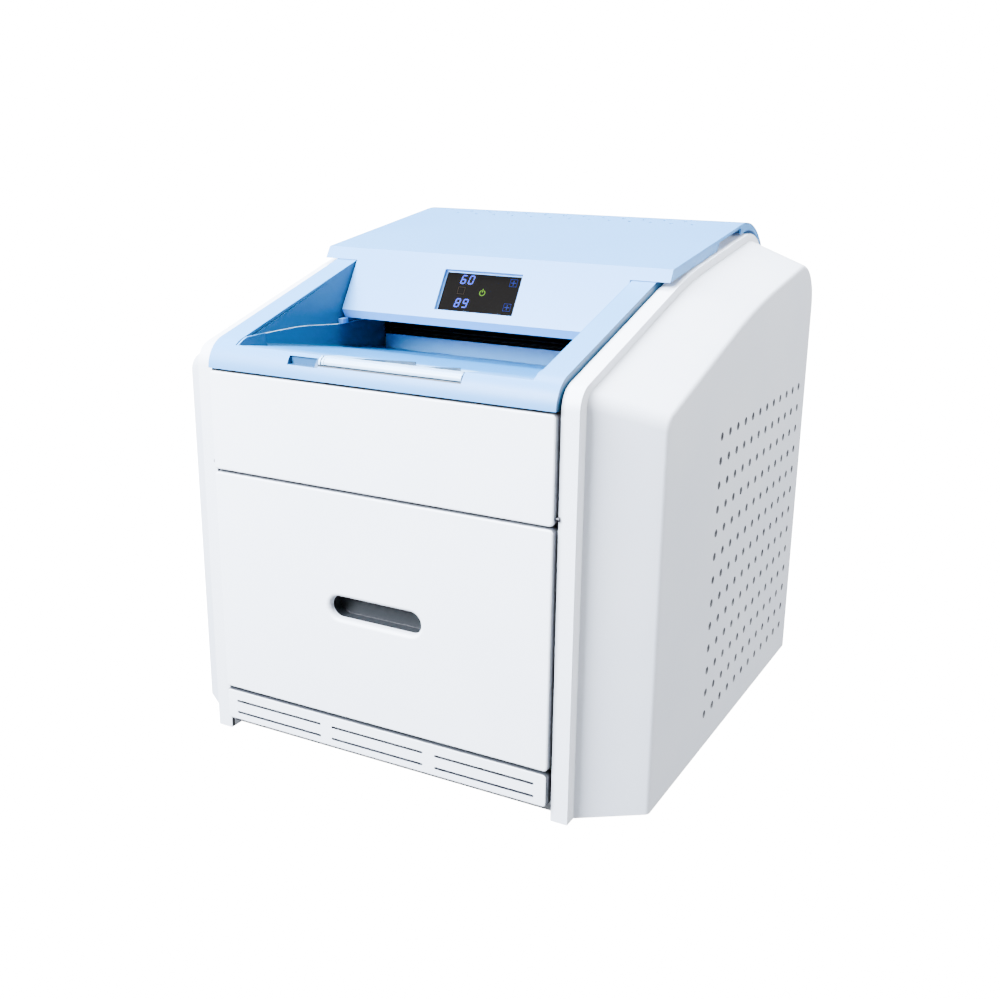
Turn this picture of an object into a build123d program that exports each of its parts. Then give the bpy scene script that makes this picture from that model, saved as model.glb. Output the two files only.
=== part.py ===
"""Tabletop medical dry laser imager: a film printer with a drawer, an exit tray and a hinged top cover."""

import os
from math import acos, atan2, cos, degrees, pi, radians, sin, sqrt, tan

from build123d import *

# Axes: +X to the machine's right as it is faced, +Y back, +Z up. The origin is the centre of
# the footprint on the table. "back" is a distance behind the front face of the panels, "up" a
# height above the lower edge of the covers, and a line in a side view is (back, up, degrees).

# overall
width = 609.0  # over the side covers
depth = 595.0  # front face of the panels to the rear edge of the side covers
foot_reveal = 4.0  # the feet hold the covers' lower edges this far off the table
touch = 0.3  # gap between a piece and the piece that carries it
running = 0.05  # radial clearance of a shaft in its bush

# centre column seen from the front
panel_width = 430.0
panel_gap = 1.5  # side of a panel to the side frame
seam = 3.0  # gap between two panels, one above the other
grille_bottom = 18.3
grille_top = 57.6
drawer_front_height = 268.7
door_height = 114.0
panel_depth = 14.0
panel_skin = 3.0
panel_corner = 4.5  # radius of a panel's corners seen from the front
panel_edge = 2.5  # rounding of a panel's front edges

# side profile
front_rise = 16.2  # slope of the tray's rails
lid_rise = 8.0  # slope of the top cover
nose_up = 474.0  # height where the rails' slope would meet the front face
nose_radius = 34.0
front_stand = 8.0  # the panels stand this far in front of the side frames
rail_stand = 7.5  # the rails stand this far above the side frames
rear_stand = 3.0  # rear edge of the side frames inside the covers' rear edge
knee_radius = 700.0  # soft bend between the two slopes
rear_radius = 79.0

# side frames
frame_band = 20.2  # width of the white band seen from the front
frame_skin = 3.0
frame_web = 2.5
frame_flange = 22.0  # the outer flange that the side cover's edge lies on

# side covers
cover_skin = 3.0
cover_front_inset = 16.5  # start of the slanted face behind the frame's front
cover_top_inset = 9.6
cover_slant = 46.5  # the slanted face runs back this far
cover_drop = 37.0  # and comes down this far at the top
cover_rear_drop = 32.5
cover_nose_radius = 18.0
cover_knee_radius = 1200.0
cover_rear_radius = 57.0
vent_columns = 12
vent_rows = 13
vent_pitch_back = 28.6
vent_pitch_up = 28.35
vent_rear_inset = 37.1  # last column of holes to the covers' rear edge
vent_first_up = 44.2
vent_hole = 10.0

# top cover with its console
lid_half = 231.5
ridge_back = 259.0
ridge_up = 561.5
lid_skin = 2.5
lid_skirt = 12.5
lid_gap = 1.5
lid_bend_inset = 96.0  # start of the rear bend before the rear edge
lid_bend_radius = 100.0
lid_notch_inset = 96.0  # cut-away in the side skirt, before the rear bend
lid_notch_length = 92.0
lid_notch_left = 4.0  # height of skirt left above the cut-away
console_half = 184.0
console_slope = 58.3
console_foot_up = 490.5
console_bevel_back = 6.0
console_bevel_drop = 10.5
console_side = 34.0  # depth of the console's side walls
lid_vent_hole = 5.0
lid_vent_count = 13
lid_vent_pitch = 28.6
lid_vent_inset = 17.0  # front row of holes before the rear bend
lid_vent_row_gap = 14.0
lid_axis_inset = 15.0  # hinge line before the rear edge
lid_axis_up = 540.0
lid_pin_radius = 4.0
lid_arm_x = 206.0
lid_arm_width = 5.0
lid_hub_radius = 8.0

# display
display_x = -2.0
display_width = 102.0
display_height = 50.0
display_drop = 21.0  # ridge to the display's top edge, down the console face
display_depth = 5.0
display_bevel = 8.0
display_rim = 4.0
window_thick = 2.0
boss_depth = 10.0
boss_rim = 9.0
board_thick = 1.6
board_rim = 5.0

# output tray
tray_half = 185.5
rail_skin = 3.0
rail_length = 290.0
rail_skirt = 14.0  # depth of the rails' outer side walls
lip_back = 13.0  # crest of the front lip
floor_fall = 9.0  # slope of the tray floor, down to the rear
lip_floor = 50.0  # the part of the floor that belongs to the tray frame
pan_floor = 2.0
pan_gap = 28.0  # tray floor's rear edge before the exit rollers
guide_rise = 19.0  # height of the guide wall at the rear of the tray
rim_rise = 6.5
rim_front_up = 482.0
wall_step = 1.0
rim_mid_back = 131.0
rim_mid_up = 481.0
rim_rear_back = 212.0
rim_rear_up = 472.5
bumper_back = 208.0
bumper_length = 13.0
bumper_width = 6.0

# film stopper in the front lip
stopper_back = 10.5
stopper_up = 468.3
stopper_radius = 5.2
stopper_left = -67.5
stopper_right = 106.5
stopper_reach = 34.0
stopper_plate = 2.4
stopper_neck = 4.2
window_cut = 20.0
collar_width = 3.0
collar_extra = 0.6
trunnion_radius = 2.0
trunnion_length = 2.2
pocket_gap = 0.5
pocket_left = -108.0
pocket_wall = 2.0
pocket_rear = 12.0
pocket_low = 463.0
pocket_height = 9.0

# front access door
door_axis_back = 7.0
door_axis_rise = 7.5  # above the door's lower edge
door_pin_radius = 2.5
magnet_width = 24.0
magnet_height = 12.0

# handle
handle_width = 119.0
handle_height = 26.5
handle_up = 194.6
cup_wall = 4.0
cup_depth = 30.0

# grille slots
slot_length = 123.5
slot_pitch = 138.5
slot_height = 3.2
slot_upper = 43.6
slot_lower = 28.8
grille_corner = 4.5

# chassis
plate_x = 199.0  # inner face of the inner plates
plate_thick = 2.0
plate_front = 22.0
plate_rear_inset = 20.0
base_bottom = 8.0
base_thick = 2.5
base_front = 14.3
base_flange = 14.0
foot_radius = 22.0
foot_inset = 62.0
beam_thick = 2.0
front_beam_up = 400.0
front_beam_height = 42.0
front_beam_depth = 20.0
rear_beam_up = 470.0
rear_beam_height = 30.0
rear_beam_depth = 15.0
shelf_up = 286.0
shelf_front = 60.0
shelf_margin = 36.0  # shelf behind the optical unit
shelf_flange = 14.0

# film drawer and its slides
box_half = 183.0
box_wall = 2.0
box_rear = 500.0
box_bottom = 226.0
box_height = 56.0
film_half = 178.0
film_front = 46.0
film_length = 432.0
film_stack = 33.0
slide_up = 240.0
slide_half = 23.0
slide_metal = 2.0
slide_front = 45.0
slide_length = 455.0

# film path
roller_half = 186.0
roller_radius = 9.0
journal_radius = 5.0
film_slot = 0.3
scan_inset = 55.0  # scanning line before the rear of the inner plates
scan_up = 345.0
exit_gap = 92.0  # exit rollers before the drum's axis
exit_up = 445.0
drum_inset = 145.0  # drum's axis before the rear of the inner plates
drum_up = 458.0
drum_radius = 70.0
drum_wall = 4.0
drum_web = 6.0
drum_journal = 10.0
drum_bush = 14.0
press_radius = 8.0
press_angles = (-8.0, 40.0, 88.0)
hood_radius = 92.0
hood_thick = 2.0
hood_from = -28.0
hood_to = 128.0
hood_steps = 4
arm_inset = 70.0  # suction arm's shaft before the rear of the inner plates
arm_up = 303.0
arm_reach = 52.0
arm_x = 62.0
arm_width = 6.0
cup_radius = 9.0
cup_height = 11.0
cup_clear = 2.5  # suction cups above the drawer's rear wall

# drive
pulley_x = 203.0
pulley_width = 9.0
drum_pulley_radius = 48.0
motor_pulley_radius = 14.0
motor_offset = 40.0  # motor's shaft behind the drum's axis
motor_up = 330.0
motor_radius = 27.0
motor_length = 58.0
motor_shaft = 4.0
belt_thick = 1.5

# optical unit
optic_half = 150.0
optic_front = 80.0
optic_inset = 120.0  # optical unit's rear before the scanning line
optic_height = 84.0
optic_wall = 4.0
beam_slot_half = 142.0
beam_slot_height = 10.0
polygon_radius = 24.0
polygon_height = 9.0
polygon_back = 150.0
polygon_post = 3.0
lens_half = 62.0
lens_back = 236.0

# electronics on the base
supply_x = -190.0
supply_width = 140.0
supply_length = 250.0
supply_height = 92.0
supply_front = 60.0
logic_x = -30.0
logic_width = 210.0
logic_length = 300.0
logic_front = 60.0
spacer_height = 12.0
spacer_radius = 4.0

# rear face
rear_sheet = 1.5
rear_bottom = 6.0
rear_top = 533.0
fan_x = -105.0
fan_up = 400.0
fan_size = 119.0
fan_depth = 25.0
fan_bore = 55.5
fan_hub = 20.0
fan_blade = 53.5
fan_blades = 7
inlet_x = 168.0
inlet_up = 60.0
inlet_width = 30.0
inlet_height = 60.0
inlet_flange = 5.0
inlet_body = 26.0
socket_width = 22.0
socket_height = 15.0
socket_depth = 14.0
rocker_width = 13.0
rocker_length = 21.0
network_x = 110.0
network_width = 22.0
network_height = 20.0
network_hole = 13.0
screw_radius = 4.0
screw_head = 1.8

# small sizes of the chassis and its fits
foot_chamfer = 2.0
plate_drop = 22.0  # inner plates below the lid's top line
plate_corner = 6.0
plate_nose = 26.0
plate_rear_radius = 40.0
hinge_ear = 22.0
hinge_ear_drop = 60.0
press_journal = 3.5
bush_wall = 3.0
bush_flange = 1.2
press_play = 0.02
arm_shaft = 4.0
motor_spigot = 12.0
frame_edge = 1.2
boss_inset = 55.0  # first and last bosses inside the covers' depth
boss_low = 90.0
boss_front_up = 250.0
boss_rear_up = 410.0
boss_radius = 7.0
slot_field_x = 85.0
slot_field_up = 250.0
rear_slot_pitch_x = 68.0
rear_slot_pitch_up = 12.0
rear_slot_rows = 10
rear_slot_columns = 3
rear_slot_length = 56.0
rear_slot_height = 4.5
rear_screw_x = 208.0
rear_screw_ups = (20.0, 270.0, 520.0)
screw_shank = 1.8
screw_length = 7.0
lip_thick = 5.0
housing_drop = 10.0
rail_wall_drop = 4.0
pan_inner = 183.0
bumper_edge = 1.0
collar_gap = 0.5
window_corner = 1.0
stopper_windows = (
    ((-36.0, 17.5), (2.0, 17.5), (42.0, 33.0), (38.0, 36.5)),
    ((56.0, 17.5), (96.0, 17.5), (98.0, 24.0)),
)
guide_mouth = 1.3
tail_thick = 3.0
tail_bulge = 1.0
display_side = 1.5
lid_notch_slant = 9.0
console_back = 250.0
console_under_rise = 12.0
lid_arm_foot = 12.0
pin_end = 2.0
cup_lip = 6.0
handle_bevel = 5.0
panel_ribs = (-151.5, -81.5, 78.5, 148.5)
magnet_places = (-162.0, 138.0)
magnet_up = 415.0
slot_columns = 3
filter_half = 205.0
filter_thick = 6.0
slide_play = 0.8
roller_edge = 0.6
journal_end = 1.5
belt_play = 0.1
belt_side = 0.5
beam_slot_drop = 26.0
running_gap = 0.5
mirror_facets = 8
polygon_spigot = 14.0
lens_sag = 9.0
lens_edge = 14.0
laser_x = -120.0
laser_length = 52.0
laser_size = 22.0
laser_nose = 8.0
case_edge = 2.0
case_slots = 9
case_slot_pitch = 12.0
case_slot_depth = 2.0
spacer_inset = 12.0
board_parts = (  # across and back on the board, side and height
    (40.0, 60.0, 34.0, 8.0),
    (110.0, 50.0, 28.0, 5.0),
    (120.0, 140.0, 40.0, 14.0),
    (40.0, 180.0, 26.0, 22.0),
)
fan_spoke_depth = 5.0
fan_pitch = 35.0
fan_blade_thick = 1.5
guard_rings = 5
guard_wire = 0.9
pin_pitch = 7.0
pin_drop = 2.0
pin_length = 10.0
pin_thick = 2.0
pin_broad = 4.0
rocker_gap = 1.2
rocker_sink = 5.0
rocker_tilt = 8.0
rocker_pin = 1.2
rocker_pin_end = 0.8
network_wall = 2.0


def side_plane(x):
    """Plane across the machine at x; its own x runs back and its own y up."""
    return Plane(origin=(x, -depth / 2, foot_reveal), x_dir=(0, 1, 0), z_dir=(1, 0, 0))


def front_plane(back):
    """Plane that faces the front; its own x runs across and its own y up."""
    return Plane(origin=(0, back - depth / 2, foot_reveal), x_dir=(1, 0, 0), z_dir=(0, -1, 0))


def level_plane(up):
    """Level plane; its own x runs across and its own y back."""
    return Plane(origin=(0, -depth / 2, foot_reveal + up), x_dir=(1, 0, 0), z_dir=(0, 0, 1))


def lower(line, distance):
    """A side-view line moved square to itself, down and inwards."""
    back, up, angle = line
    return (back + distance * sin(radians(angle)), up - distance * cos(radians(angle)), angle)


def up_at(line, back):
    """Height of a side-view line at a distance behind the front face."""
    return line[1] + (back - line[0]) * tan(radians(line[2]))


def meet(first, second):
    """Where two side-view lines cross, as (back, up)."""
    slope_1 = tan(radians(first[2]))
    slope_2 = tan(radians(second[2]))
    back = (second[1] - first[1] + slope_1 * first[0] - slope_2 * second[0]) / (slope_1 - slope_2)
    return (back, up_at(first, back))


def middle(span):
    """Middle of a (low, high) span."""
    return (span[0] + span[1]) / 2


def block(across, back, up, mode=Mode.ADD):
    """A block in the part being built, each side a (low, high) span."""
    with Locations((middle(across), middle(back) - depth / 2, middle(up) + foot_reveal)):
        Box(across[1] - across[0], back[1] - back[0], up[1] - up[0], mode=mode)


def bar(across, back, up, radius, mode=Mode.ADD):
    """A round bar that lies across the machine in the part being built."""
    with Locations(Location((middle(across), back - depth / 2, up + foot_reveal), (0, 90, 0))):
        Cylinder(radius, across[1] - across[0], mode=mode)


def post(across, back, up, radius, mode=Mode.ADD):
    """A round upright post, up a (low, high) span."""
    with Locations((across, back - depth / 2, middle(up) + foot_reveal)):
        Cylinder(radius, up[1] - up[0], mode=mode)


def mirrored(side, low, high):
    """A span at the right side, or its mirror image at the left."""
    return (low, high) if side > 0 else (-high, -low)


def rounded_outline(plane, corners):
    """A closed outline whose corners are (x, y, radius) on the plane."""
    with BuildSketch(plane) as outline:
        with BuildLine():
            Polyline(*[(x, y) for x, y, radius in corners], close=True)
        make_face()
        for x, y, radius in corners:
            if radius > 0:
                fillet(outline.vertices().sort_by_distance((x, y, 0))[0], radius)
    return outline.sketch


rear_face = depth - rear_stand
lid_bend_back = depth - lid_bend_inset
lid_tail_back = rear_face
lid_notch_back = lid_bend_back - lid_notch_inset
lid_vent_back = lid_bend_back - lid_vent_inset
lid_axis_back = depth - lid_axis_inset
plate_rear = depth - plate_rear_inset
drum_back = plate_rear - drum_inset
exit_back = drum_back - exit_gap
pan_rear = exit_back - pan_gap
motor_back = drum_back + motor_offset
scan_back = plate_rear - scan_inset
arm_back = plate_rear - arm_inset
optic_rear = scan_back - optic_inset
shelf_rear = optic_rear + shelf_margin

rail_line = (0.0, nose_up, front_rise)
lid_line = (ridge_back, ridge_up, lid_rise)
console_line = (ridge_back, ridge_up, console_slope)
nose_centre_up = up_at(rail_line, nose_radius) - nose_radius / cos(radians(front_rise))
lip_up = nose_centre_up + sqrt(nose_radius**2 - (nose_radius - lip_back) ** 2)
nose_end = nose_radius * (1 - sin(radians(front_rise)))
floor_line = (lip_back, lip_up, -floor_fall)
plate_line = lower(floor_line, stopper_plate)
plate_end = stopper_back + stopper_reach
cover_near = front_stand + cover_front_inset
lid_lean = radians(90 + lid_rise)
bend_up = up_at((ridge_back, ridge_up, lid_rise), lid_bend_back)
lid_bend_centre = (lid_bend_back - lid_bend_radius * cos(lid_lean), bend_up - lid_bend_radius * sin(lid_lean))
lid_tail_rise = sqrt(lid_bend_radius**2 - (lid_tail_back - lid_bend_centre[0]) ** 2)
frame_inner = panel_width / 2 + panel_gap
frame_outer = frame_inner + frame_band


def frame_outline(plane, inset, bottom):
    """Outline of a side frame, or the same outline inset all round but at the bottom."""
    front = front_stand + inset
    rear = depth - rear_stand - inset
    first = lower(rail_line, rail_stand + inset)
    second = lower(lid_line, lid_skirt + lid_gap + inset)
    knee = meet(first, second)
    return rounded_outline(
        plane,
        [
            (front, bottom, 0),
            (front, up_at(first, front), nose_radius - front_stand - inset),
            (knee[0], knee[1], knee_radius),
            (rear, up_at(second, rear), rear_radius - inset),
            (rear, bottom, 0),
        ],
    )


def cover_outline(plane, front, drop, rear_drop, radii, inset, bottom):
    """Outline of a side cover at one depth of its slanted face."""
    first = lower(rail_line, rail_stand + cover_top_inset + drop + inset)
    second = lower(lid_line, lid_skirt + lid_gap + cover_top_inset + rear_drop + inset)
    knee = meet(first, second)
    nose, soft, rear_bend = radii
    rear = depth - inset
    return rounded_outline(
        plane,
        [
            (front + inset, bottom, 0),
            (front + inset, up_at(first, front + inset), nose),
            (knee[0], knee[1], soft),
            (rear, up_at(second, rear), rear_bend),
            (rear, bottom, 0),
        ],
    )


os.makedirs("parts", exist_ok=True)


def panel_blank(low, high, radius):
    """Front panel: a moulded skin with rounded front edges and a rim that points back."""
    with BuildPart() as blank:
        with BuildSketch(front_plane(0)):
            with Locations((0, (low + high) / 2)):
                RectangleRounded(panel_width, high - low, radius)
        extrude(amount=-panel_depth)
        fillet(blank.faces().sort_by(Axis.Y)[0].edges(), panel_edge)
        with BuildSketch(front_plane(panel_skin)):
            with Locations((0, (low + high) / 2)):
                inner_width, inner_height = panel_width - 2 * panel_skin, high - low - 2 * panel_skin
                RectangleRounded(inner_width, inner_height, radius - panel_skin)
        extrude(amount=-panel_depth, mode=Mode.SUBTRACT)
    return blank.part


# heights and distances that follow from the sizes above
drawer_bottom = grille_top + seam
drawer_top = drawer_bottom + drawer_front_height
door_bottom = drawer_top + seam
door_top = door_bottom + door_height
frame_bottom = door_top + seam
door_axis_up = door_bottom + door_axis_rise
base_top = base_bottom + base_thick
plate_outer = plate_x + plate_thick
panel_back = panel_depth + touch

# places of the shafts in the inner plates: name, back, up, roller radius, journal radius
scan_gap = roller_radius + film_slot / 2
drum_gap = drum_radius + press_radius + film_slot
rollers = [
    ("scan_roller_front", scan_back - scan_gap, scan_up, roller_radius, journal_radius),
    ("scan_roller_rear", scan_back + scan_gap, scan_up, roller_radius, journal_radius),
    ("exit_roller_lower", exit_back, exit_up, roller_radius, journal_radius),
    ("exit_roller_upper", exit_back, exit_up + 2 * scan_gap, roller_radius, journal_radius),
]
for number, angle in enumerate(press_angles, start=1):
    press_back = drum_back + drum_gap * cos(radians(angle))
    press_up = drum_up + drum_gap * sin(radians(angle))
    rollers.append((f"press_roller_{number}", press_back, press_up, press_radius, press_journal))

# base plate with its upturned edges
with BuildPart() as base_plate:
    base_half = frame_inner - touch
    base_rear = plate_rear + base_thick + touch
    block((-base_half, base_half), (base_front, base_rear), (base_bottom, base_top))
    upturn = (base_bottom, base_bottom + base_flange)
    block((-base_half, base_half), (base_front, base_front + base_thick), upturn)
    block((-base_half, base_half), (base_rear - base_thick, base_rear), upturn)
base_plate.part.label = "base_plate"
export_step(base_plate.part, "parts/base_plate.step")

# four rubber feet under the base plate
foot_half = frame_inner - foot_inset
with BuildPart() as rubber_feet:
    for across in (-foot_half, foot_half):
        for back in (foot_inset, depth - foot_inset):
            post(across, back, (-foot_reveal, base_bottom), foot_radius)
    chamfer(rubber_feet.faces().group_by(Axis.Z)[0].edges(), foot_chamfer)
rubber_feet.part.label = "rubber_feet"
export_step(rubber_feet.part, "parts/rubber_feet.step")

# inner plates: the two chassis walls that carry the shafts
with BuildPart() as inner_plates:
    first = lower(rail_line, rail_skin + touch)
    second = lower(lid_line, plate_drop)
    knee = meet(first, second)
    for side in (-1, 1):
        span = mirrored(side, plate_x, plate_outer)
        outline = rounded_outline(
            side_plane(span[0]),
            [
                (plate_front, base_top, 0),
                (plate_front, front_beam_up + front_beam_height, plate_corner),
                (plate_front + plate_nose, up_at(first, plate_front + plate_nose), 0),
                (knee[0], knee[1], 0),
                (plate_rear, up_at(second, plate_rear), plate_rear_radius),
                (plate_rear, base_top, 0),
            ],
        )
        extrude(outline, amount=plate_thick)
        block(span, (lid_axis_back - hinge_ear, lid_axis_back), (lid_axis_up - hinge_ear_drop, lid_axis_up))
        bar(span, lid_axis_back, lid_axis_up, lid_hub_radius)
        bar(span, lid_axis_back, lid_axis_up, lid_pin_radius + running, mode=Mode.SUBTRACT)
        for name, back, up, radius, journal in rollers:
            bar(span, back, up, journal + bush_wall, mode=Mode.SUBTRACT)
        bar(span, drum_back, drum_up, drum_bush, mode=Mode.SUBTRACT)
        bar(span, arm_back, arm_up, arm_shaft + bush_wall, mode=Mode.SUBTRACT)
        if side > 0:
            bar(span, motor_back, motor_up, motor_spigot, mode=Mode.SUBTRACT)
inner_plates.part.label = "inner_plates"
export_step(inner_plates.part, "parts/inner_plates.step")

# bushes pressed into the inner plates, one node of separate rings
with BuildPart() as shaft_bushes:
    for side in (-1, 1):
        span = mirrored(side, plate_x - bush_flange, plate_outer)
        rim = mirrored(side, plate_x - bush_flange, plate_x)
        for name, back, up, radius, journal in rollers:
            bar(span, back, up, journal + bush_wall - press_play)
            bar(span, back, up, journal + running, mode=Mode.SUBTRACT)
        bar(span, drum_back, drum_up, drum_bush - press_play)
        bar(span, drum_back, drum_up, drum_journal + running, mode=Mode.SUBTRACT)
        bar(span, arm_back, arm_up, arm_shaft + bush_wall - press_play)
        bar(span, arm_back, arm_up, arm_shaft + running, mode=Mode.SUBTRACT)
shaft_bushes.part.label = "shaft_bushes"
export_step(shaft_bushes.part, "parts/shaft_bushes.step")

# side frames: channel mouldings whose outer edges are the white bands beside the panels
boss_columns = ((boss_inset, boss_front_up), (depth / 2, boss_rear_up), (depth - boss_inset, boss_rear_up))
for side, label in ((-1, "left"), (1, "right")):
    span = mirrored(side, frame_inner, frame_outer)
    channel = mirrored(side, frame_inner + frame_web, frame_outer - frame_skin)
    flange = mirrored(side, frame_outer - frame_skin, frame_outer)
    with BuildPart() as side_frame:
        extrude(frame_outline(side_plane(span[0]), 0, 0), amount=frame_band)
        faces = side_frame.faces().filter_by(Axis.X).sort_by(Axis.X)
        inner_edges = faces[0 if side > 0 else -1].edges()
        fillet(inner_edges.filter_by(lambda edge: edge.center().Z > frame_skin), frame_edge)
        hollow = frame_outline(side_plane(channel[0]), frame_skin, frame_skin)
        extrude(hollow, amount=channel[1] - channel[0], mode=Mode.SUBTRACT)
        window = frame_outline(side_plane(flange[0]), frame_flange, frame_flange)
        extrude(window, amount=frame_skin, mode=Mode.SUBTRACT)
        for back, high in boss_columns:
            for up in (boss_low, high):
                bar(mirrored(side, plate_outer + touch, frame_inner + frame_web), back, up, boss_radius)
        bar(mirrored(side, frame_inner, frame_inner + frame_web), door_axis_back, door_axis_up,
            door_pin_radius, mode=Mode.SUBTRACT)
    side_frame.part.label = f"{label}_side_frame"
    export_step(side_frame.part, f"parts/{label}_side_frame.step")

# side covers: slanted shells over the side frames, each with a field of vent holes
for side, label in ((-1, "left"), (1, "right")):
    inner_x = side * (frame_outer + touch)
    outer_x = side * width / 2
    inner_radii = (cover_nose_radius, knee_radius, rear_radius)
    outer_radii = (cover_nose_radius, cover_knee_radius, cover_rear_radius)
    with BuildPart() as side_cover:
        near = cover_outline(side_plane(inner_x), cover_near, 0, 0, inner_radii, 0, 0)
        slant = (cover_near + cover_slant, cover_drop, cover_rear_drop, outer_radii)
        far = cover_outline(side_plane(outer_x), *slant, 0, 0)
        loft(sections=[near, far], ruled=True)
        near = cover_outline(side_plane(inner_x), cover_near, 0, 0, inner_radii, cover_skin, -cover_skin)
        far = cover_outline(side_plane(outer_x - side * cover_skin), *slant, cover_skin, -cover_skin)
        loft(sections=[near, far], ruled=True, mode=Mode.SUBTRACT)
        field_back = depth - vent_rear_inset - (vent_columns - 1) * vent_pitch_back / 2
        field_up = vent_first_up + (vent_rows - 1) * vent_pitch_up / 2
        with Locations(side_plane(outer_x)):
            with Locations((field_back, field_up)):
                with GridLocations(vent_pitch_back, vent_pitch_up, vent_columns, vent_rows):
                    Cylinder(vent_hole / 2, 4 * cover_skin, mode=Mode.SUBTRACT)
    side_cover.part.label = f"{label}_side_cover"
    export_step(side_cover.part, f"parts/{label}_side_cover.step")

# rear cover: a sheet with cut-outs for the fan, the mains inlet and the network socket
screw_places = [(across, up) for across in (-rear_screw_x, rear_screw_x) for up in rear_screw_ups]
with BuildPart() as rear_cover:
    with BuildSketch(front_plane(rear_face)):
        with Locations((0, (rear_bottom + rear_top) / 2)):
            Rectangle(2 * (frame_inner - touch), rear_top - rear_bottom)
        with Locations((fan_x, fan_up)):
            Circle(fan_bore, mode=Mode.SUBTRACT)
        with Locations((inlet_x, inlet_up)):
            Rectangle(inlet_width, inlet_height, mode=Mode.SUBTRACT)
        with Locations((network_x, inlet_up)):
            Rectangle(network_width + 2 * touch, network_height + 2 * touch, mode=Mode.SUBTRACT)
        with Locations((slot_field_x, slot_field_up)):
            with GridLocations(rear_slot_pitch_x, rear_slot_pitch_up, rear_slot_columns, rear_slot_rows):
                SlotOverall(rear_slot_length, rear_slot_height, mode=Mode.SUBTRACT)
        with Locations(*screw_places):
            Circle(screw_shank + touch, mode=Mode.SUBTRACT)
    extrude(amount=rear_sheet)
rear_cover.part.label = "rear_cover"
export_step(rear_cover.part, "parts/rear_cover.step")

# screws of the rear cover, one node of separate solids
with BuildPart() as cover_screws:
    with BuildSketch(front_plane(rear_face)):
        with Locations(*screw_places):
            Circle(screw_radius)
    extrude(amount=-screw_head)
    chamfer(cover_screws.faces().sort_by(Axis.Y)[-len(screw_places) :].edges(), screw_head / 3)
    with BuildSketch(front_plane(rear_face)):
        with Locations(*screw_places):
            Circle(screw_shank)
    extrude(amount=screw_length)
cover_screws.part.label = "cover_screws"
export_step(cover_screws.part, "parts/cover_screws.step")

# cross members between the inner plates: the upper front beam, the rear beam and the optical shelf
with BuildPart() as cross_members:
    beam_half = plate_x - touch
    beam_top = front_beam_up + front_beam_height
    block((-beam_half, beam_half), (plate_front, plate_front + beam_thick), (front_beam_up, beam_top))
    lower_leg = (front_beam_up, front_beam_up + beam_thick)
    block((-beam_half, beam_half), (plate_front, plate_front + front_beam_depth), lower_leg)
    beam_top = rear_beam_up + rear_beam_height
    block((-beam_half, beam_half), (plate_rear - beam_thick, plate_rear), (rear_beam_up, beam_top))
    lower_leg = (rear_beam_up, rear_beam_up + beam_thick)
    block((-beam_half, beam_half), (plate_rear - rear_beam_depth, plate_rear), lower_leg)
    block((-beam_half, beam_half), (shelf_front, shelf_rear), (shelf_up, shelf_up + beam_thick))
    for side in (-1, 1):
        flange = mirrored(side, beam_half - beam_thick, beam_half)
        block(flange, (shelf_front, shelf_rear), (shelf_up - shelf_flange, shelf_up))
cross_members.part.label = "cross_members"
export_step(cross_members.part, "parts/cross_members.step")

# block behind the lip that holds the film stopper's bar, in the lip's own rounded shape
housing_rear = plate_end + pocket_gap + pocket_wall
housing_span = (pocket_left - pocket_wall, stopper_right + trunnion_length + pocket_wall)
with BuildPart() as stopper_housing:
    nose = rounded_outline(
        side_plane(housing_span[0]),
        [
            (0, frame_bottom - nose_radius, 0),
            (0, nose_up, nose_radius),
            (housing_rear, up_at(rail_line, housing_rear), 0),
            (housing_rear, frame_bottom - nose_radius, 0),
        ],
    )
    extrude(nose, amount=housing_span[1] - housing_span[0])
    below = (frame_bottom - nose_radius, stopper_up - housing_drop)
    block(housing_span, (0, housing_rear), below, mode=Mode.SUBTRACT)


def rail_section(plane, thick):
    """Side view of the rails and lip: their outer line and the same line moved inwards."""
    under = lower(rail_line, thick)
    return rounded_outline(
        plane,
        [
            (0, frame_bottom - nose_radius, 0),
            (0, nose_up, nose_radius),
            (rail_length, up_at(rail_line, rail_length), 0),
            (rail_length, up_at(under, rail_length), 0),
            (thick, up_at(under, thick), nose_radius - thick),
            (thick, frame_bottom - nose_radius, 0),
        ],
    )


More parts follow.
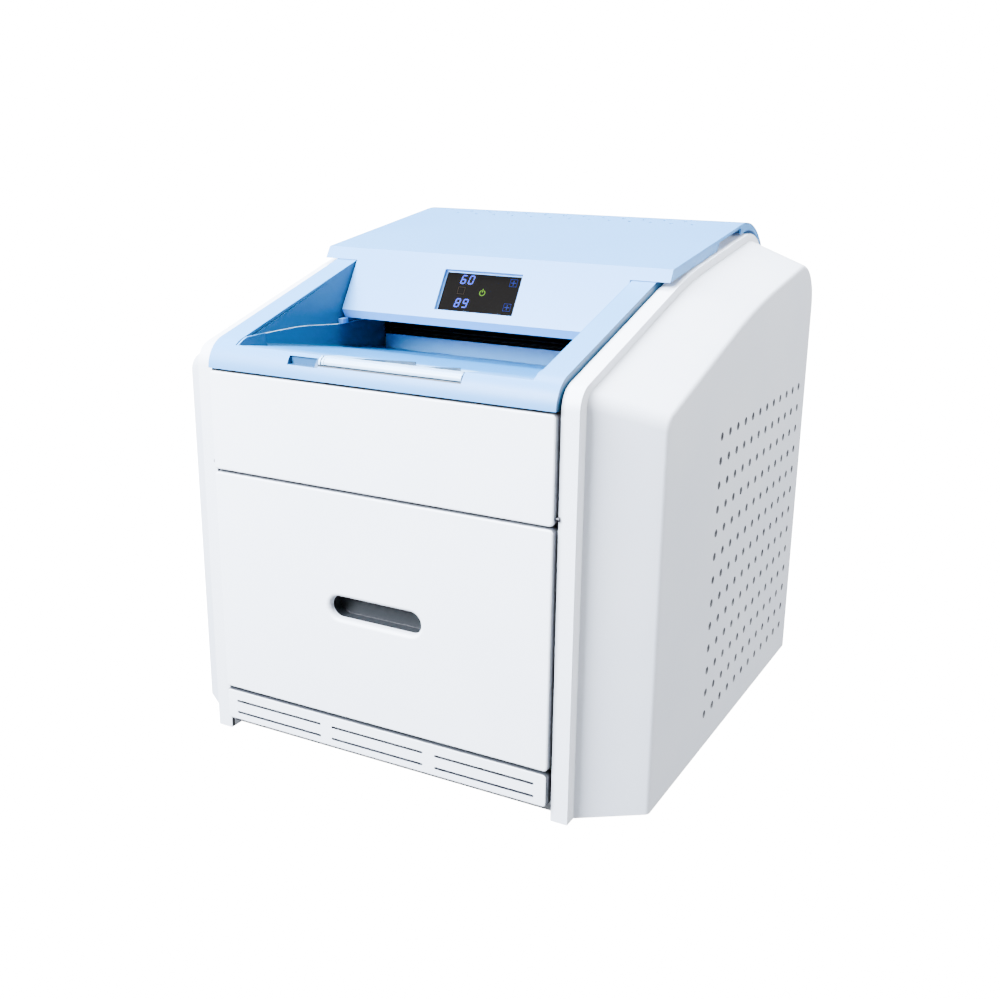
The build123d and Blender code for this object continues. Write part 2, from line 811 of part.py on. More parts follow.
# top frame: the two rails beside the tray and the rounded lip that joins them
with BuildPart() as top_frame:
    rail_half = panel_width / 2
    rail_end = up_at(rail_line, rail_length)
    under = lower(rail_line, rail_skin)
    extrude(rail_section(side_plane(-rail_half), rail_skin), amount=2 * rail_half)
    for side in (-1, 1):
        wall = mirrored(side, rail_half - rail_skin, rail_half)
        extrude(rail_section(side_plane(wall[0]), rail_skirt), amount=rail_skin)
    below = (frame_bottom - 2 * nose_radius, frame_bottom)
    block((-rail_half, rail_half), (-rail_skin, 2 * rail_skirt), below, mode=Mode.SUBTRACT)
    add(stopper_housing.part)
    above_floor = rounded_outline(
        side_plane(-tray_half),
        [
            (lip_back, lip_up, 0),
            (rail_length + rail_skin, up_at(floor_line, rail_length + rail_skin), 0),
            (rail_length + rail_skin, 2 * rail_end, 0),
            (lip_back, 2 * rail_end, 0),
        ],
    )
    extrude(above_floor, amount=2 * tray_half, mode=Mode.SUBTRACT)
    lip = rounded_outline(
        side_plane(-tray_half),
        [
            (lip_back, lip_up, 0),
            (lip_back + lip_floor, up_at(floor_line, lip_back + lip_floor), 0),
            (lip_back + lip_floor, up_at(floor_line, lip_back + lip_floor) - rail_skin, 0),
            (lip_back, lip_up - lip_thick, 0),
            (lip_back - rail_skin, lip_up - lip_thick, 0),
        ],
    )
    extrude(lip, amount=2 * tray_half)
    # side walls of the tray in front of the pan, then the rails' own inner walls
    for side in (-1, 1):
        wall = mirrored(side, pan_inner, tray_half + rail_skin)
        front_wall = rounded_outline(
            side_plane(wall[0]),
            [
                (lip_back, lip_up - lip_thick, 0),
                (lip_back, lip_up - wall_step, 0),
                (nose_end, up_at(rail_line, nose_end) - wall_step, 0),
                (nose_end + rim_rise, up_at(rail_line, nose_end + rim_rise) - wall_step, 0),
                (lip_back + lip_floor, rim_front_up, 0),
                (lip_back + lip_floor, up_at(floor_line, lip_back + lip_floor) - rail_skin, 0),
            ],
        )
        extrude(front_wall, amount=tray_half + rail_skin - pan_inner)
        wall = mirrored(side, tray_half, tray_half + rail_skin)
        rail_wall = rounded_outline(
            side_plane(wall[0]),
            [
                (lip_back, up_at(under, lip_back) - rail_skin, 0),
                (rail_length, up_at(under, rail_length) + rail_skin / 2, 0),
                (rail_length, rim_rear_up - rail_wall_drop, 0),
                (rim_rear_back, rim_rear_up - rail_wall_drop, 0),
            ],
        )
        extrude(rail_wall, amount=rail_skin)
    # pocket of the film stopper: its bore, its recess and the empty left end
    bar((stopper_left - trunnion_length, stopper_right + trunnion_length), stopper_back, stopper_up,
        trunnion_radius + running, mode=Mode.SUBTRACT)
    bore = stopper_radius + collar_extra + pocket_gap
    pocket = (stopper_left - pocket_gap, stopper_right + pocket_gap)
    bar(pocket, stopper_back, stopper_up, bore, mode=Mode.SUBTRACT)
    block(pocket, (-rail_skin, stopper_back), (stopper_up, nose_up), mode=Mode.SUBTRACT)
    recess = rounded_outline(
        side_plane(stopper_left - pocket_gap),
        [
            (stopper_back, up_at(floor_line, stopper_back) + rail_skin, 0),
            (plate_end + pocket_gap, up_at(floor_line, plate_end) + rail_skin, 0),
            (plate_end + pocket_gap, up_at(plate_line, plate_end) - touch, 0),
            (stopper_back, up_at(plate_line, stopper_back) - touch, 0),
        ],
    )
    extrude(recess, amount=stopper_right - stopper_left + 2 * pocket_gap, mode=Mode.SUBTRACT)
    block((pocket_left, stopper_left - trunnion_length - pocket_wall), (-rail_skin, pocket_rear),
          (pocket_low, pocket_low + pocket_height), mode=Mode.SUBTRACT)
top_frame.part.label = "top_frame"
export_step(top_frame.part, "parts/top_frame.step")

# tray pan: the sloping floor of the output tray, its side walls and the guide wall at the rear
pan_front = lip_back + lip_floor + touch
with BuildPart() as tray_pan:
    pan_half = tray_half - touch
    floor_shape = rounded_outline(
        side_plane(-pan_half),
        [
            (pan_front, up_at(floor_line, pan_front), 0),
            (pan_rear, up_at(floor_line, pan_rear), 0),
            (pan_rear, up_at(floor_line, pan_rear) - pan_floor, 0),
            (pan_front, up_at(floor_line, pan_front) - pan_floor, 0),
        ],
    )
    extrude(floor_shape, amount=2 * pan_half)
    for side in (-1, 1):
        wall = mirrored(side, pan_inner, pan_half)
        wall_shape = rounded_outline(
            side_plane(wall[0]),
            [
                (pan_front, up_at(floor_line, pan_front) - pan_floor, 0),
                (pan_front, rim_front_up, 0),
                (rim_mid_back, rim_mid_up, 0),
                (rim_rear_back, rim_rear_up, 0),
                (pan_rear, rim_rear_up, 0),
                (pan_rear, up_at(floor_line, pan_rear) - pan_floor, 0),
            ],
        )
        extrude(wall_shape, amount=pan_half - pan_inner)
    guide_foot = up_at(floor_line, pan_rear)
    guide_up = (guide_foot - pan_floor, guide_foot + guide_rise)
    block((-pan_half, pan_half), (pan_rear, pan_rear + pan_floor), guide_up)
tray_pan.part.label = "tray_pan"
export_step(tray_pan.part, "parts/tray_pan.step")

# two bumpers on the ledge of the pan, which the console comes down on
bumper_up = console_foot_up - console_bevel_drop - touch
with BuildPart() as lid_rests:
    for side in (-1, 1):
        across = mirrored(side, pan_half - bumper_width, pan_half)
        share = (rim_rear_back - bumper_back) / (rim_rear_back - rim_mid_back)
        ledge_up = rim_rear_up + (rim_mid_up - rim_rear_up) * share
        block(across, (bumper_back, bumper_back + bumper_length), (ledge_up + touch, bumper_up))
    fillet(lid_rests.faces().group_by(Axis.Z)[-1].edges(), bumper_edge)
lid_rests.part.label = "lid_rests"
export_step(lid_rests.part, "parts/lid_rests.step")

# film stopper: a hinged plate with two long windows, a round bar and two collars
with BuildPart() as film_stopper:
    bar((stopper_left, stopper_right), stopper_back, stopper_up, stopper_radius)
    bar((stopper_left, stopper_left + collar_width), stopper_back, stopper_up, stopper_radius + collar_extra)
    bar((stopper_left + collar_width + collar_gap, stopper_left + 2 * collar_width + collar_gap),
        stopper_back, stopper_up, stopper_radius + collar_extra)
    neck_back = stopper_back + stopper_neck
    plate_shape = rounded_outline(
        side_plane(stopper_left),
        [
            (stopper_back, up_at(floor_line, stopper_back), 0),
            (plate_end, up_at(floor_line, plate_end), 0),
            (plate_end, up_at(plate_line, plate_end), 0),
            (neck_back, up_at(plate_line, neck_back), 0),
            (stopper_back, stopper_up, 0),
        ],
    )
    extrude(plate_shape, amount=stopper_right - stopper_left)
    for corners in stopper_windows:
        with BuildSketch(level_plane(stopper_up + window_cut)):
            with BuildLine():
                Polyline(*corners, close=True)
            make_face()
            fillet(vertices(), window_corner)
        extrude(amount=-2 * window_cut, mode=Mode.SUBTRACT)
    trunnions = (stopper_left - trunnion_length, stopper_right + trunnion_length)
    bar(trunnions, stopper_back, stopper_up, trunnion_radius)
film_stopper.part.label = "film_stopper"
export_step(film_stopper.part, "parts/film_stopper.step")

# exit guide: two sheets that lead the film from the exit rollers over the guide wall
with BuildPart() as exit_guide:
    film_up = exit_up + scan_gap
    guide_front = pan_rear + pan_floor + touch
    guide_rear = exit_back - roller_radius - 2 * touch
    for low in (film_up - guide_mouth - pan_floor, film_up + guide_mouth):
        block((-beam_half, beam_half), (guide_front, guide_rear), (low, low + pan_floor))
    for side in (-1, 1):
        block(mirrored(side, roller_half, beam_half), (guide_front, guide_rear),
              (film_up - guide_mouth - pan_floor, film_up + guide_mouth + pan_floor))
exit_guide.part.label = "exit_guide"
export_step(exit_guide.part, "parts/exit_guide.step")

# top cover: a shallow cap that bends down at the rear and a sloping console in front
tail_angle = degrees(atan2(lid_tail_rise, lid_tail_back - lid_bend_centre[0]))


def lid_profile(plane, inset, skirt):
    """Side view of the cap, closed below by the skirt's lower edge."""
    top = lower(lid_line, inset)
    face = lower(console_line, inset)
    edge = lower(lid_line, skirt)
    radius = lid_bend_radius - inset
    edge_radius = lid_bend_radius - skirt
    ridge = meet(top, face)
    front = meet(edge, face)
    centre_back, centre_up = lid_bend_centre
    lean = radians(90 + lid_rise)
    end = radians(tail_angle)
    with BuildSketch(plane) as profile:
        with BuildLine():
            bend = (centre_back + radius * cos(lean), centre_up + radius * sin(lean))
            half = (lean + end) / 2
            tip = (centre_back + radius * cos(end), centre_up + radius * sin(end))
            crown = (centre_back + radius * cos(half), centre_up + radius * sin(half))
            Polyline(front, ridge, bend)
            ThreePointArc(bend, crown, tip)
            low_tip = (tip[0] - tail_thick * cos(end), tip[1] - tail_thick * sin(end))
            Line(tip, low_tip)
            low_bend = (centre_back + edge_radius * cos(lean), centre_up + edge_radius * sin(lean))
            taper = (edge_radius + radius) / 2 - tail_thick / 2 + tail_bulge
            low_half = (centre_back + taper * cos(half), centre_up + taper * sin(half))
            ThreePointArc(low_tip, low_half, low_bend)
            Line(low_bend, front)
        make_face()
    return profile.sketch


def console_profile(plane, inset, back):
    """Side view of the console: face, bevel, underside and an open back."""
    face = lower(console_line, inset)
    top = lower(lid_line, inset)
    foot = (ridge_back - (ridge_up - console_foot_up) / tan(radians(console_slope)), console_foot_up)
    bevel_angle = degrees(atan2(-console_bevel_drop, console_bevel_back))
    bevel = lower((foot[0], foot[1], bevel_angle), -inset)
    under_up = console_foot_up - console_bevel_drop + inset
    under = (foot[0] + console_bevel_back, under_up, console_under_rise)
    return rounded_outline(
        plane,
        [
            (*meet(face, top), 0),
            (*meet(face, bevel), 0),
            (*meet(bevel, under), 0),
            (back, up_at(under, back), 0),
            (back + console_side, up_at(top, back + console_side), 0),
        ],
    )


def console_point(down, sink):
    """Side-view point on the console, down its face from the display's centre and sunk below it."""
    along = display_drop + display_height / 2 + down
    slope = radians(console_slope)
    return (
        ridge_back - along * cos(slope) + sink * sin(slope),
        ridge_up - along * sin(slope) - sink * cos(slope),
    )


def console_plane(sink):
    """Plane of the display, sunk below the console face, that faces outwards."""
    back, up = console_point(0, sink)
    slope = radians(console_slope)
    centre = (display_x, back - depth / 2, up + foot_reveal)
    return Plane(origin=centre, x_dir=(1, 0, 0), z_dir=(0, -sin(slope), cos(slope)))


with BuildPart() as top_cover:
    extrude(lid_profile(side_plane(-lid_half), 0, lid_skirt), amount=2 * lid_half)
    extrude(console_profile(side_plane(-console_half), 0, console_back), amount=2 * console_half)
    extrude(
        lid_profile(side_plane(lid_skin - lid_half), lid_skin, lid_skirt + lid_skin),
        amount=2 * (lid_half - lid_skin),
        mode=Mode.SUBTRACT,
    )
    extrude(
        console_profile(side_plane(lid_skin - console_half), lid_skin, console_back + lid_skin),
        amount=2 * (console_half - lid_skin),
        mode=Mode.SUBTRACT,
    )
    # the display's boss, its pocket with a bevelled upper side, the window's seat and the opening
    pocket_width = display_width + 2 * display_side
    with BuildSketch(console_plane(lid_skin / 2)):
        Rectangle(display_width + 2 * boss_rim, display_height + 2 * boss_rim)
    extrude(amount=lid_skin / 2 - boss_depth)
    for rim, length in (
        (-display_side, display_depth),
        (0, display_depth + window_thick),
        (display_rim, boss_depth),
    ):
        with BuildSketch(console_plane(0)):
            Rectangle(display_width - 2 * rim, display_height - 2 * rim)
        extrude(amount=-length, mode=Mode.SUBTRACT)
    top_of_pocket = -display_height / 2 - display_side
    slant = rounded_outline(
        side_plane(display_x - pocket_width / 2),
        [
            (*console_point(top_of_pocket, 0), 0),
            (*console_point(top_of_pocket - display_bevel, 0), 0),
            (*console_point(top_of_pocket - display_bevel, -lid_skin), 0),
            (*console_point(top_of_pocket + lid_skin, -lid_skin), 0),
            (*console_point(top_of_pocket + lid_skin, display_depth), 0),
            (*console_point(top_of_pocket, display_depth), 0),
        ],
    )
    extrude(slant, amount=pocket_width, mode=Mode.SUBTRACT)
    # finger notches in the skirts
    for side in (-1, 1):
        edge = lower(lid_line, lid_skirt)
        roof = lower(lid_line, lid_notch_left)
        notch_rear = lid_notch_back + lid_notch_length
        notch = rounded_outline(
            side_plane(mirrored(side, lid_half - 2 * lid_skin, lid_half + lid_skin)[0]),
            [
                (lid_notch_back, up_at(edge, lid_notch_back) - lid_skin, 0),
                (lid_notch_back + lid_notch_slant, up_at(roof, lid_notch_back + lid_notch_slant), 0),
                (notch_rear, up_at(roof, notch_rear), 0),
                (notch_rear, up_at(edge, notch_rear) - lid_skin, 0),
            ],
        )
        extrude(notch, amount=3 * lid_skin, mode=Mode.SUBTRACT)
    # two staggered rows of vent holes near the rear edge
    for row in (0, 1):
        back = lid_vent_back + row * lid_vent_row_gap
        top = up_at(lid_line, back)
        count = lid_vent_count - row
        for number in range(count):
            across = (number - (count - 1) / 2) * lid_vent_pitch
            post(across, back, (top - 2 * lid_skin, top + lid_skin), lid_vent_hole / 2, mode=Mode.SUBTRACT)
top_cover.part.label = "top_cover"
export_step(top_cover.part, "parts/top_cover.step")

# display window in its seat, and the circuit board with the display module behind it
with BuildPart() as display_window:
    with BuildSketch(console_plane(display_depth)):
        RectangleRounded(display_width - 2 * touch, display_height - 2 * touch, display_side / 2)
    extrude(amount=-window_thick)
display_window.part.label = "display_window"
export_step(display_window.part, "parts/display_window.step")

with BuildPart() as display_board:
    module_sink = display_depth + window_thick + touch
    with BuildSketch(console_plane(module_sink)):
        Rectangle(display_width - 2 * display_rim - 2 * touch, display_height - 2 * display_rim - 2 * touch)
    extrude(amount=module_sink - boss_depth - touch)
    with BuildSketch(console_plane(boss_depth + touch)):
        Rectangle(display_width + 2 * board_rim, display_height + 2 * board_rim)
    extrude(amount=-board_thick)
display_board.part.label = "display_board"
export_step(display_board.part, "parts/display_board.step")

# metal arms that hang the cover on its hinge pins
with BuildPart() as lid_hinge_arms:
    for side in (-1, 1):
        span = mirrored(side, lid_arm_x, lid_arm_x + lid_arm_width)
        inner_radius = lid_bend_radius - lid_skin - touch
        arm_top = lid_bend_centre[1] + sqrt(inner_radius**2 - (lid_axis_back - lid_bend_centre[0]) ** 2)
        block(span, (lid_axis_back - lid_hub_radius, lid_axis_back), (lid_axis_up, arm_top))
        bar(span, lid_axis_back, lid_axis_up, lid_hub_radius)
        bar(span, lid_axis_back, lid_axis_up, lid_pin_radius + running, mode=Mode.SUBTRACT)
        foot = mirrored(side, lid_arm_x - lid_arm_foot, lid_arm_x + lid_arm_width)
        block(foot, (lid_axis_back - lid_hub_radius, lid_axis_back), (arm_top - lid_arm_width / 2, arm_top))
lid_hinge_arms.part.label = "lid_hinge_arms"
export_step(lid_hinge_arms.part, "parts/lid_hinge_arms.step")

# pins of the cover and of the front door, one node of separate solids
rim_half = panel_width / 2
with BuildPart() as hinge_pins:
    for side in (-1, 1):
        shank = mirrored(side, plate_x - pin_end, lid_arm_x + lid_arm_width + pin_end)
        head = mirrored(side, plate_x - 2 * pin_end, plate_x - touch)
        door_pin = mirrored(side, rim_half - panel_skin - pin_end, frame_inner + frame_web)
        bar(shank, lid_axis_back, lid_axis_up, lid_pin_radius)
        bar(head, lid_axis_back, lid_axis_up, lid_pin_radius + pin_end / 2)
        bar(door_pin, door_axis_back, door_axis_up, door_pin_radius)
hinge_pins.part.label = "hinge_pins"
export_step(hinge_pins.part, "parts/hinge_pins.step")

# front panels
with BuildPart() as drawer_front:
    add(panel_blank(drawer_bottom, drawer_top, panel_corner))
    with BuildSketch(front_plane(panel_skin)):
        with Locations((0, handle_up)):
            seat = 2 * (cup_wall + cup_lip)
            SlotOverall(handle_width + seat, handle_height + seat)
    extrude(amount=-cup_lip)
    with BuildSketch(front_plane(0)):
        with Locations((0, handle_up)):
            SlotOverall(handle_width, handle_height)
    extrude(amount=-panel_depth, mode=Mode.SUBTRACT)
    face_edges = drawer_front.faces().sort_by(Axis.Y)[0].inner_wires()[0].edges()
    fillet(face_edges, handle_bevel)
    for across in panel_ribs:
        rib_up = (drawer_bottom + panel_skin, drawer_top - panel_skin)
        block((across, across + panel_skin), (panel_skin, panel_depth), rib_up)
    with BuildSketch(front_plane(panel_skin + cup_lip)):
        with Locations((0, handle_up)):
            SlotOverall(handle_width + 2 * cup_wall + 2 * touch, handle_height + 2 * cup_wall + 2 * touch)
    extrude(amount=-panel_depth, mode=Mode.SUBTRACT)
drawer_front.part.label = "drawer_front"
export_step(drawer_front.part, "parts/drawer_front.step")

# finger recess behind the drawer front
cup_front = panel_skin + cup_lip + touch
with BuildPart() as handle_cup:
    with BuildSketch(front_plane(cup_front)):
        with Locations((0, handle_up)):
            SlotOverall(handle_width + 2 * cup_wall, handle_height + 2 * cup_wall)
    extrude(amount=cup_front - cup_depth)
    with BuildSketch(front_plane(cup_front)):
        with Locations((0, handle_up)):
            SlotOverall(handle_width + cup_wall, handle_height + cup_wall)
    extrude(amount=cup_front - cup_depth + cup_wall, mode=Mode.SUBTRACT)
handle_cup.part.label = "handle_cup"
export_step(handle_cup.part, "parts/handle_cup.step")

with BuildPart() as front_access_door:
    add(panel_blank(door_bottom, door_top, panel_corner))
    bar((-rim_half, rim_half), door_axis_back, door_axis_up, door_pin_radius + running, mode=Mode.SUBTRACT)
    for across in panel_ribs:
        rib_up = (door_bottom + 2 * door_axis_rise, door_top - panel_skin)
        block((across, across + panel_skin), (panel_skin, panel_depth), rib_up)
front_access_door.part.label = "front_access_door"
export_step(front_access_door.part, "parts/front_access_door.step")

with BuildPart() as door_magnets:
    for across in magnet_places:
        magnet_span = (magnet_up, magnet_up + magnet_height)
        block((across, across + magnet_width), (panel_back, plate_front), magnet_span)
door_magnets.part.label = "door_magnets"
export_step(door_magnets.part, "parts/door_magnets.step")

# lower grille: a rounded strip with two rows of louvred slots
with BuildPart() as lower_grille:
    with BuildSketch(front_plane(0)):
        with Locations((0, (grille_bottom + grille_top) / 2)):
            RectangleRounded(panel_width, grille_top - grille_bottom, grille_corner)
    extrude(amount=-panel_depth)
    fillet(lower_grille.faces().sort_by(Axis.Y)[0].edges(), panel_edge)
    hollow_span = (grille_bottom + panel_skin, grille_top - panel_skin)
    inside = (panel_skin - rim_half, rim_half - panel_skin)
    block(inside, (panel_skin, 2 * panel_depth), hollow_span, mode=Mode.SUBTRACT)
    with BuildSketch(front_plane(0)):
        with Locations((0, (slot_upper + slot_lower) / 2)):
            with GridLocations(slot_pitch, slot_upper - slot_lower, slot_columns, 2):
                SlotOverall(slot_length, slot_height)
    extrude(amount=-2 * panel_skin, mode=Mode.SUBTRACT)
lower_grille.part.label = "lower_grille"
export_step(lower_grille.part, "parts/lower_grille.step")

with BuildPart() as air_filter:
    filter_up = (base_bottom + base_flange + 2 * touch, grille_top - panel_skin)
    block((-filter_half, filter_half), (panel_back, panel_back + filter_thick), filter_up)
air_filter.part.label = "air_filter"
export_step(air_filter.part, "parts/air_filter.step")

# film drawer: an open box that holds the stack of film
with BuildPart() as film_tray_box:
    block((-box_half, box_half), (panel_back, box_rear), (box_bottom, box_bottom + box_height))
    block(
        (box_wall - box_half, box_half - box_wall),
        (panel_back + box_wall, box_rear - box_wall),
        (box_bottom + box_wall, box_bottom + 2 * box_height),
        mode=Mode.SUBTRACT,
    )
    fillet(film_tray_box.edges().filter_by(Axis.Z).group_by(Axis.Y)[-1], box_wall)
    stop_back = (film_front - 2 * box_wall, film_front - box_wall)
    block((-film_half, film_half), stop_back, (box_bottom + box_wall, box_bottom + film_stack))
film_tray_box.part.label = "film_tray_box"
export_step(film_tray_box.part, "parts/film_tray_box.step")

with BuildPart() as film_pack:
    stack_bottom = box_bottom + box_wall + touch
    stack = (stack_bottom, stack_bottom + film_stack)
    block((-film_half, film_half), (film_front, film_front + film_length), stack)
film_pack.part.label = "film_pack"
export_step(film_pack.part, "parts/film_pack.step")

# drawer slides: outer, middle and inner channels, one pair of each
slide_rear = slide_front + slide_length
slide_step = slide_metal + slide_play
slide_members = [
    ("slide_outer_members", plate_x - slide_metal - touch, slide_half, -1),
    ("slide_middle_members", plate_x - 2 * slide_step, slide_half - slide_step, -1),
    ("slide_inner_members", box_half + touch, slide_half - 2 * slide_step, 1),
]
for name, web, half, open_side in slide_members:
    with BuildPart() as member:
        for side in (-1, 1):
            if open_side < 0:
                flange = mirrored(side, box_half + slide_metal + 2 * slide_play, web)
            else:
                flange = mirrored(side, web + slide_metal, plate_x - 3 * slide_step)
            upright = mirrored(side, web, web + slide_metal)
            block(upright, (slide_front, slide_rear), (slide_up - half, slide_up + half))
            for low in (slide_up - half, slide_up + half - slide_metal):
                block(flange, (slide_front, slide_rear), (low, low + slide_metal))
    member.part.label = name
    export_step(member.part, f"parts/{name}.step")

# rollers with their journals
for name, back, up, radius, journal in rollers:
    with BuildPart() as roller:
        bar((-roller_half, roller_half), back, up, radius)
        chamfer(roller.edges().filter_by(GeomType.CIRCLE), roller_edge)
        bar((-plate_outer - journal_end, plate_outer + journal_end), back, up, journal)
    roller.part.label = name
    export_step(roller.part, f"parts/{name}.step")

# heat drum: a tube with two webs, stub shafts and a belt pulley at the right
with BuildPart() as heat_drum:
    bar((-roller_half, roller_half), drum_back, drum_up, drum_radius)
    bar((-roller_half, roller_half), drum_back, drum_up, drum_radius - drum_wall, mode=Mode.SUBTRACT)
    for side in (-1, 1):
        web_span = mirrored(side, roller_half - drum_web, roller_half)
        bar(web_span, drum_back, drum_up, drum_radius - drum_wall)
        journal_span = mirrored(side, roller_half - drum_web, plate_outer + journal_end)
        bar(journal_span, drum_back, drum_up, drum_journal)
    bar((pulley_x, pulley_x + pulley_width), drum_back, drum_up, drum_pulley_radius)
    bar((plate_outer, pulley_x), drum_back, drum_up, drum_journal)
heat_drum.part.label = "heat_drum"
export_step(heat_drum.part, "parts/heat_drum.step")

# insulated hood over the drum and its press rollers
with BuildPart() as drum_hood:
    with BuildSketch(side_plane(-beam_half)):
        with Locations((drum_back, drum_up)):
            Circle(hood_radius)
            Circle(hood_radius - hood_thick, mode=Mode.SUBTRACT)
        with BuildLine():
            reach = 2 * hood_radius
            sweep = 2 * pi - radians(hood_to - hood_from)
            corners = [(drum_back, drum_up)]
            for step in range(hood_steps + 1):
                angle = radians(hood_to) + sweep * step / hood_steps
                corners.append((drum_back + reach * cos(angle), drum_up + reach * sin(angle)))
            Polyline(*corners, close=True)
        make_face(mode=Mode.SUBTRACT)
    extrude(amount=2 * beam_half)
drum_hood.part.label = "drum_hood"
export_step(drum_hood.part, "parts/drum_hood.step")

# drive motor on the right plate, its rotor with the small pulley, and the belt
motor_rear = plate_x - touch
with BuildPart() as drive_motor:
    bar((motor_rear - motor_length, motor_rear), motor_back, motor_up, motor_radius)
    bar((motor_rear, plate_outer), motor_back, motor_up, motor_spigot - touch)
    bore = (motor_rear - motor_length / 2, plate_outer)
    bar(bore, motor_back, motor_up, motor_shaft + running, mode=Mode.SUBTRACT)
drive_motor.part.label = "drive_motor"
export_step(drive_motor.part, "parts/drive_motor.step")

with BuildPart() as motor_pulley:
    shaft_end = motor_rear - motor_length / 2 + journal_end
    bar((shaft_end, pulley_x + pulley_width), motor_back, motor_up, motor_shaft)
    bar((pulley_x, pulley_x + pulley_width), motor_back, motor_up, motor_pulley_radius)
motor_pulley.part.label = "motor_pulley"
export_step(motor_pulley.part, "parts/motor_pulley.step")

with BuildPart() as drive_belt:
    inner_sketches = []
    for grow in (belt_play + belt_thick, belt_play):
        big = drum_pulley_radius + grow
        small = motor_pulley_radius + grow
        run = sqrt((drum_back - motor_back) ** 2 + (drum_up - motor_up) ** 2)
        lean = degrees(atan2(motor_up - drum_up, motor_back - drum_back))
        wrap = degrees(acos((big - small) / run))
        with BuildSketch(side_plane(pulley_x + belt_side)) as loop:
            with Locations((drum_back, drum_up)):
                Circle(big)
            with Locations((motor_back, motor_up)):
                Circle(small)
            with BuildLine():
                corners = []
                for centre, radius, turn in (
                    ((drum_back, drum_up), big, wrap),
                    ((motor_back, motor_up), small, wrap),
                    ((motor_back, motor_up), small, -wrap),
                    ((drum_back, drum_up), big, -wrap),
                ):
                    angle = radians(lean + turn)
                    corners.append((centre[0] + radius * cos(angle), centre[1] + radius * sin(angle)))
                Polyline(*corners, close=True)
            make_face()
        inner_sketches.append(loop.sketch)
    extrude(inner_sketches[0], amount=pulley_width - 2 * belt_side)
    extrude(inner_sketches[1], amount=pulley_width - 2 * belt_side, mode=Mode.SUBTRACT)
drive_belt.part.label = "drive_belt"
export_step(drive_belt.part, "parts/drive_belt.step")

# suction arm that lifts a film from the stack: a shaft, two arms and two rubber cups
with BuildPart() as pick_up_arm:
    bar((-plate_outer - journal_end, plate_outer + journal_end), arm_back, arm_up, arm_shaft)
    cup_top = box_bottom + box_height + cup_clear + cup_height
    for side in (-1, 1):
        span = mirrored(side, arm_x, arm_x + arm_width)
        bar(span, arm_back, arm_up, 2 * arm_shaft)
        block(span, (arm_back - arm_reach, arm_back), (cup_top, arm_up + arm_shaft))
        pad = mirrored(side, arm_x + arm_width / 2 - cup_radius, arm_x + arm_width / 2 + cup_radius)
        pad_back = (arm_back - arm_reach - cup_radius, arm_back - arm_reach + cup_radius)
        block(pad, pad_back, (cup_top, cup_top + arm_width / 2))
pick_up_arm.part.label = "pick_up_arm"
export_step(pick_up_arm.part, "parts/pick_up_arm.step")

with BuildPart() as suction_cups:
    for side in (-1, 1):
        centre = side * (arm_x + arm_width / 2)
        with BuildSketch(level_plane(cup_top - cup_height)):
            with Locations((centre, arm_back - arm_reach)):
                Circle(cup_radius)
        with BuildSketch(level_plane(cup_top - cup_height / 2)):
            with Locations((centre, arm_back - arm_reach)):
                Circle(cup_radius / 2)
        loft(ruled=True)
        post(centre, arm_back - arm_reach, (cup_top - cup_height / 2, cup_top), cup_radius / 2)
suction_cups.part.label = "suction_cups"
export_step(suction_cups.part, "parts/suction_cups.step")

# optical unit: a closed tray with a beam slot, a spinning mirror on its motor, a lens and the laser
optic_bottom = shelf_up + beam_thick + touch
beam_up = optic_bottom + optic_height - optic_wall - beam_slot_drop
with BuildPart() as optic_housing:
    optic_top = optic_bottom + optic_height - optic_wall
    block((-optic_half, optic_half), (optic_front, optic_rear), (optic_bottom, optic_top))
    block(
        (optic_wall - optic_half, optic_half - optic_wall),
        (optic_front + optic_wall, optic_rear - optic_wall),
        (optic_bottom + optic_wall, optic_bottom + optic_height),
        mode=Mode.SUBTRACT,
    )
    block(
        (-beam_slot_half, beam_slot_half),
        (optic_rear - 2 * optic_wall, optic_rear + optic_wall),
        (beam_up - beam_slot_height / 2, beam_up + beam_slot_height / 2),
        mode=Mode.SUBTRACT,
    )
optic_housing.part.label = "optic_housing"
export_step(optic_housing.part, "parts/optic_housing.step")

with BuildPart() as optic_cover:
    cover_bottom = optic_bottom + optic_height - optic_wall
    block((-optic_half, optic_half), (optic_front, optic_rear), (cover_bottom, cover_bottom + optic_wall))
    chamfer(optic_cover.faces().sort_by(Axis.Z)[-1].edges(), optic_wall / 2)
optic_cover.part.label = "optic_cover"
export_step(optic_cover.part, "parts/optic_cover.step")

# mirror motor and the eight-sided mirror that it spins
mirror_low = beam_up - polygon_height / 2
with BuildPart() as mirror_motor:
    floor_up = optic_bottom + optic_wall
    post(0, polygon_back, (floor_up, mirror_low - 2 * running_gap), polygon_radius - optic_wall)
    post(0, polygon_back, (floor_up, mirror_low), polygon_post + running, mode=Mode.SUBTRACT)
mirror_motor.part.label = "mirror_motor"
export_step(mirror_motor.part, "parts/mirror_motor.step")

with BuildPart() as polygon_mirror:
    with BuildSketch(level_plane(mirror_low)):
        with Locations((0, polygon_back)):
            RegularPolygon(polygon_radius, mirror_facets)
    extrude(amount=polygon_height)
    spigot = (mirror_low - polygon_spigot, mirror_low + polygon_height + running_gap)
    post(0, polygon_back, spigot, polygon_post)
polygon_mirror.part.label = "polygon_mirror"
export_step(polygon_mirror.part, "parts/polygon_mirror.step")

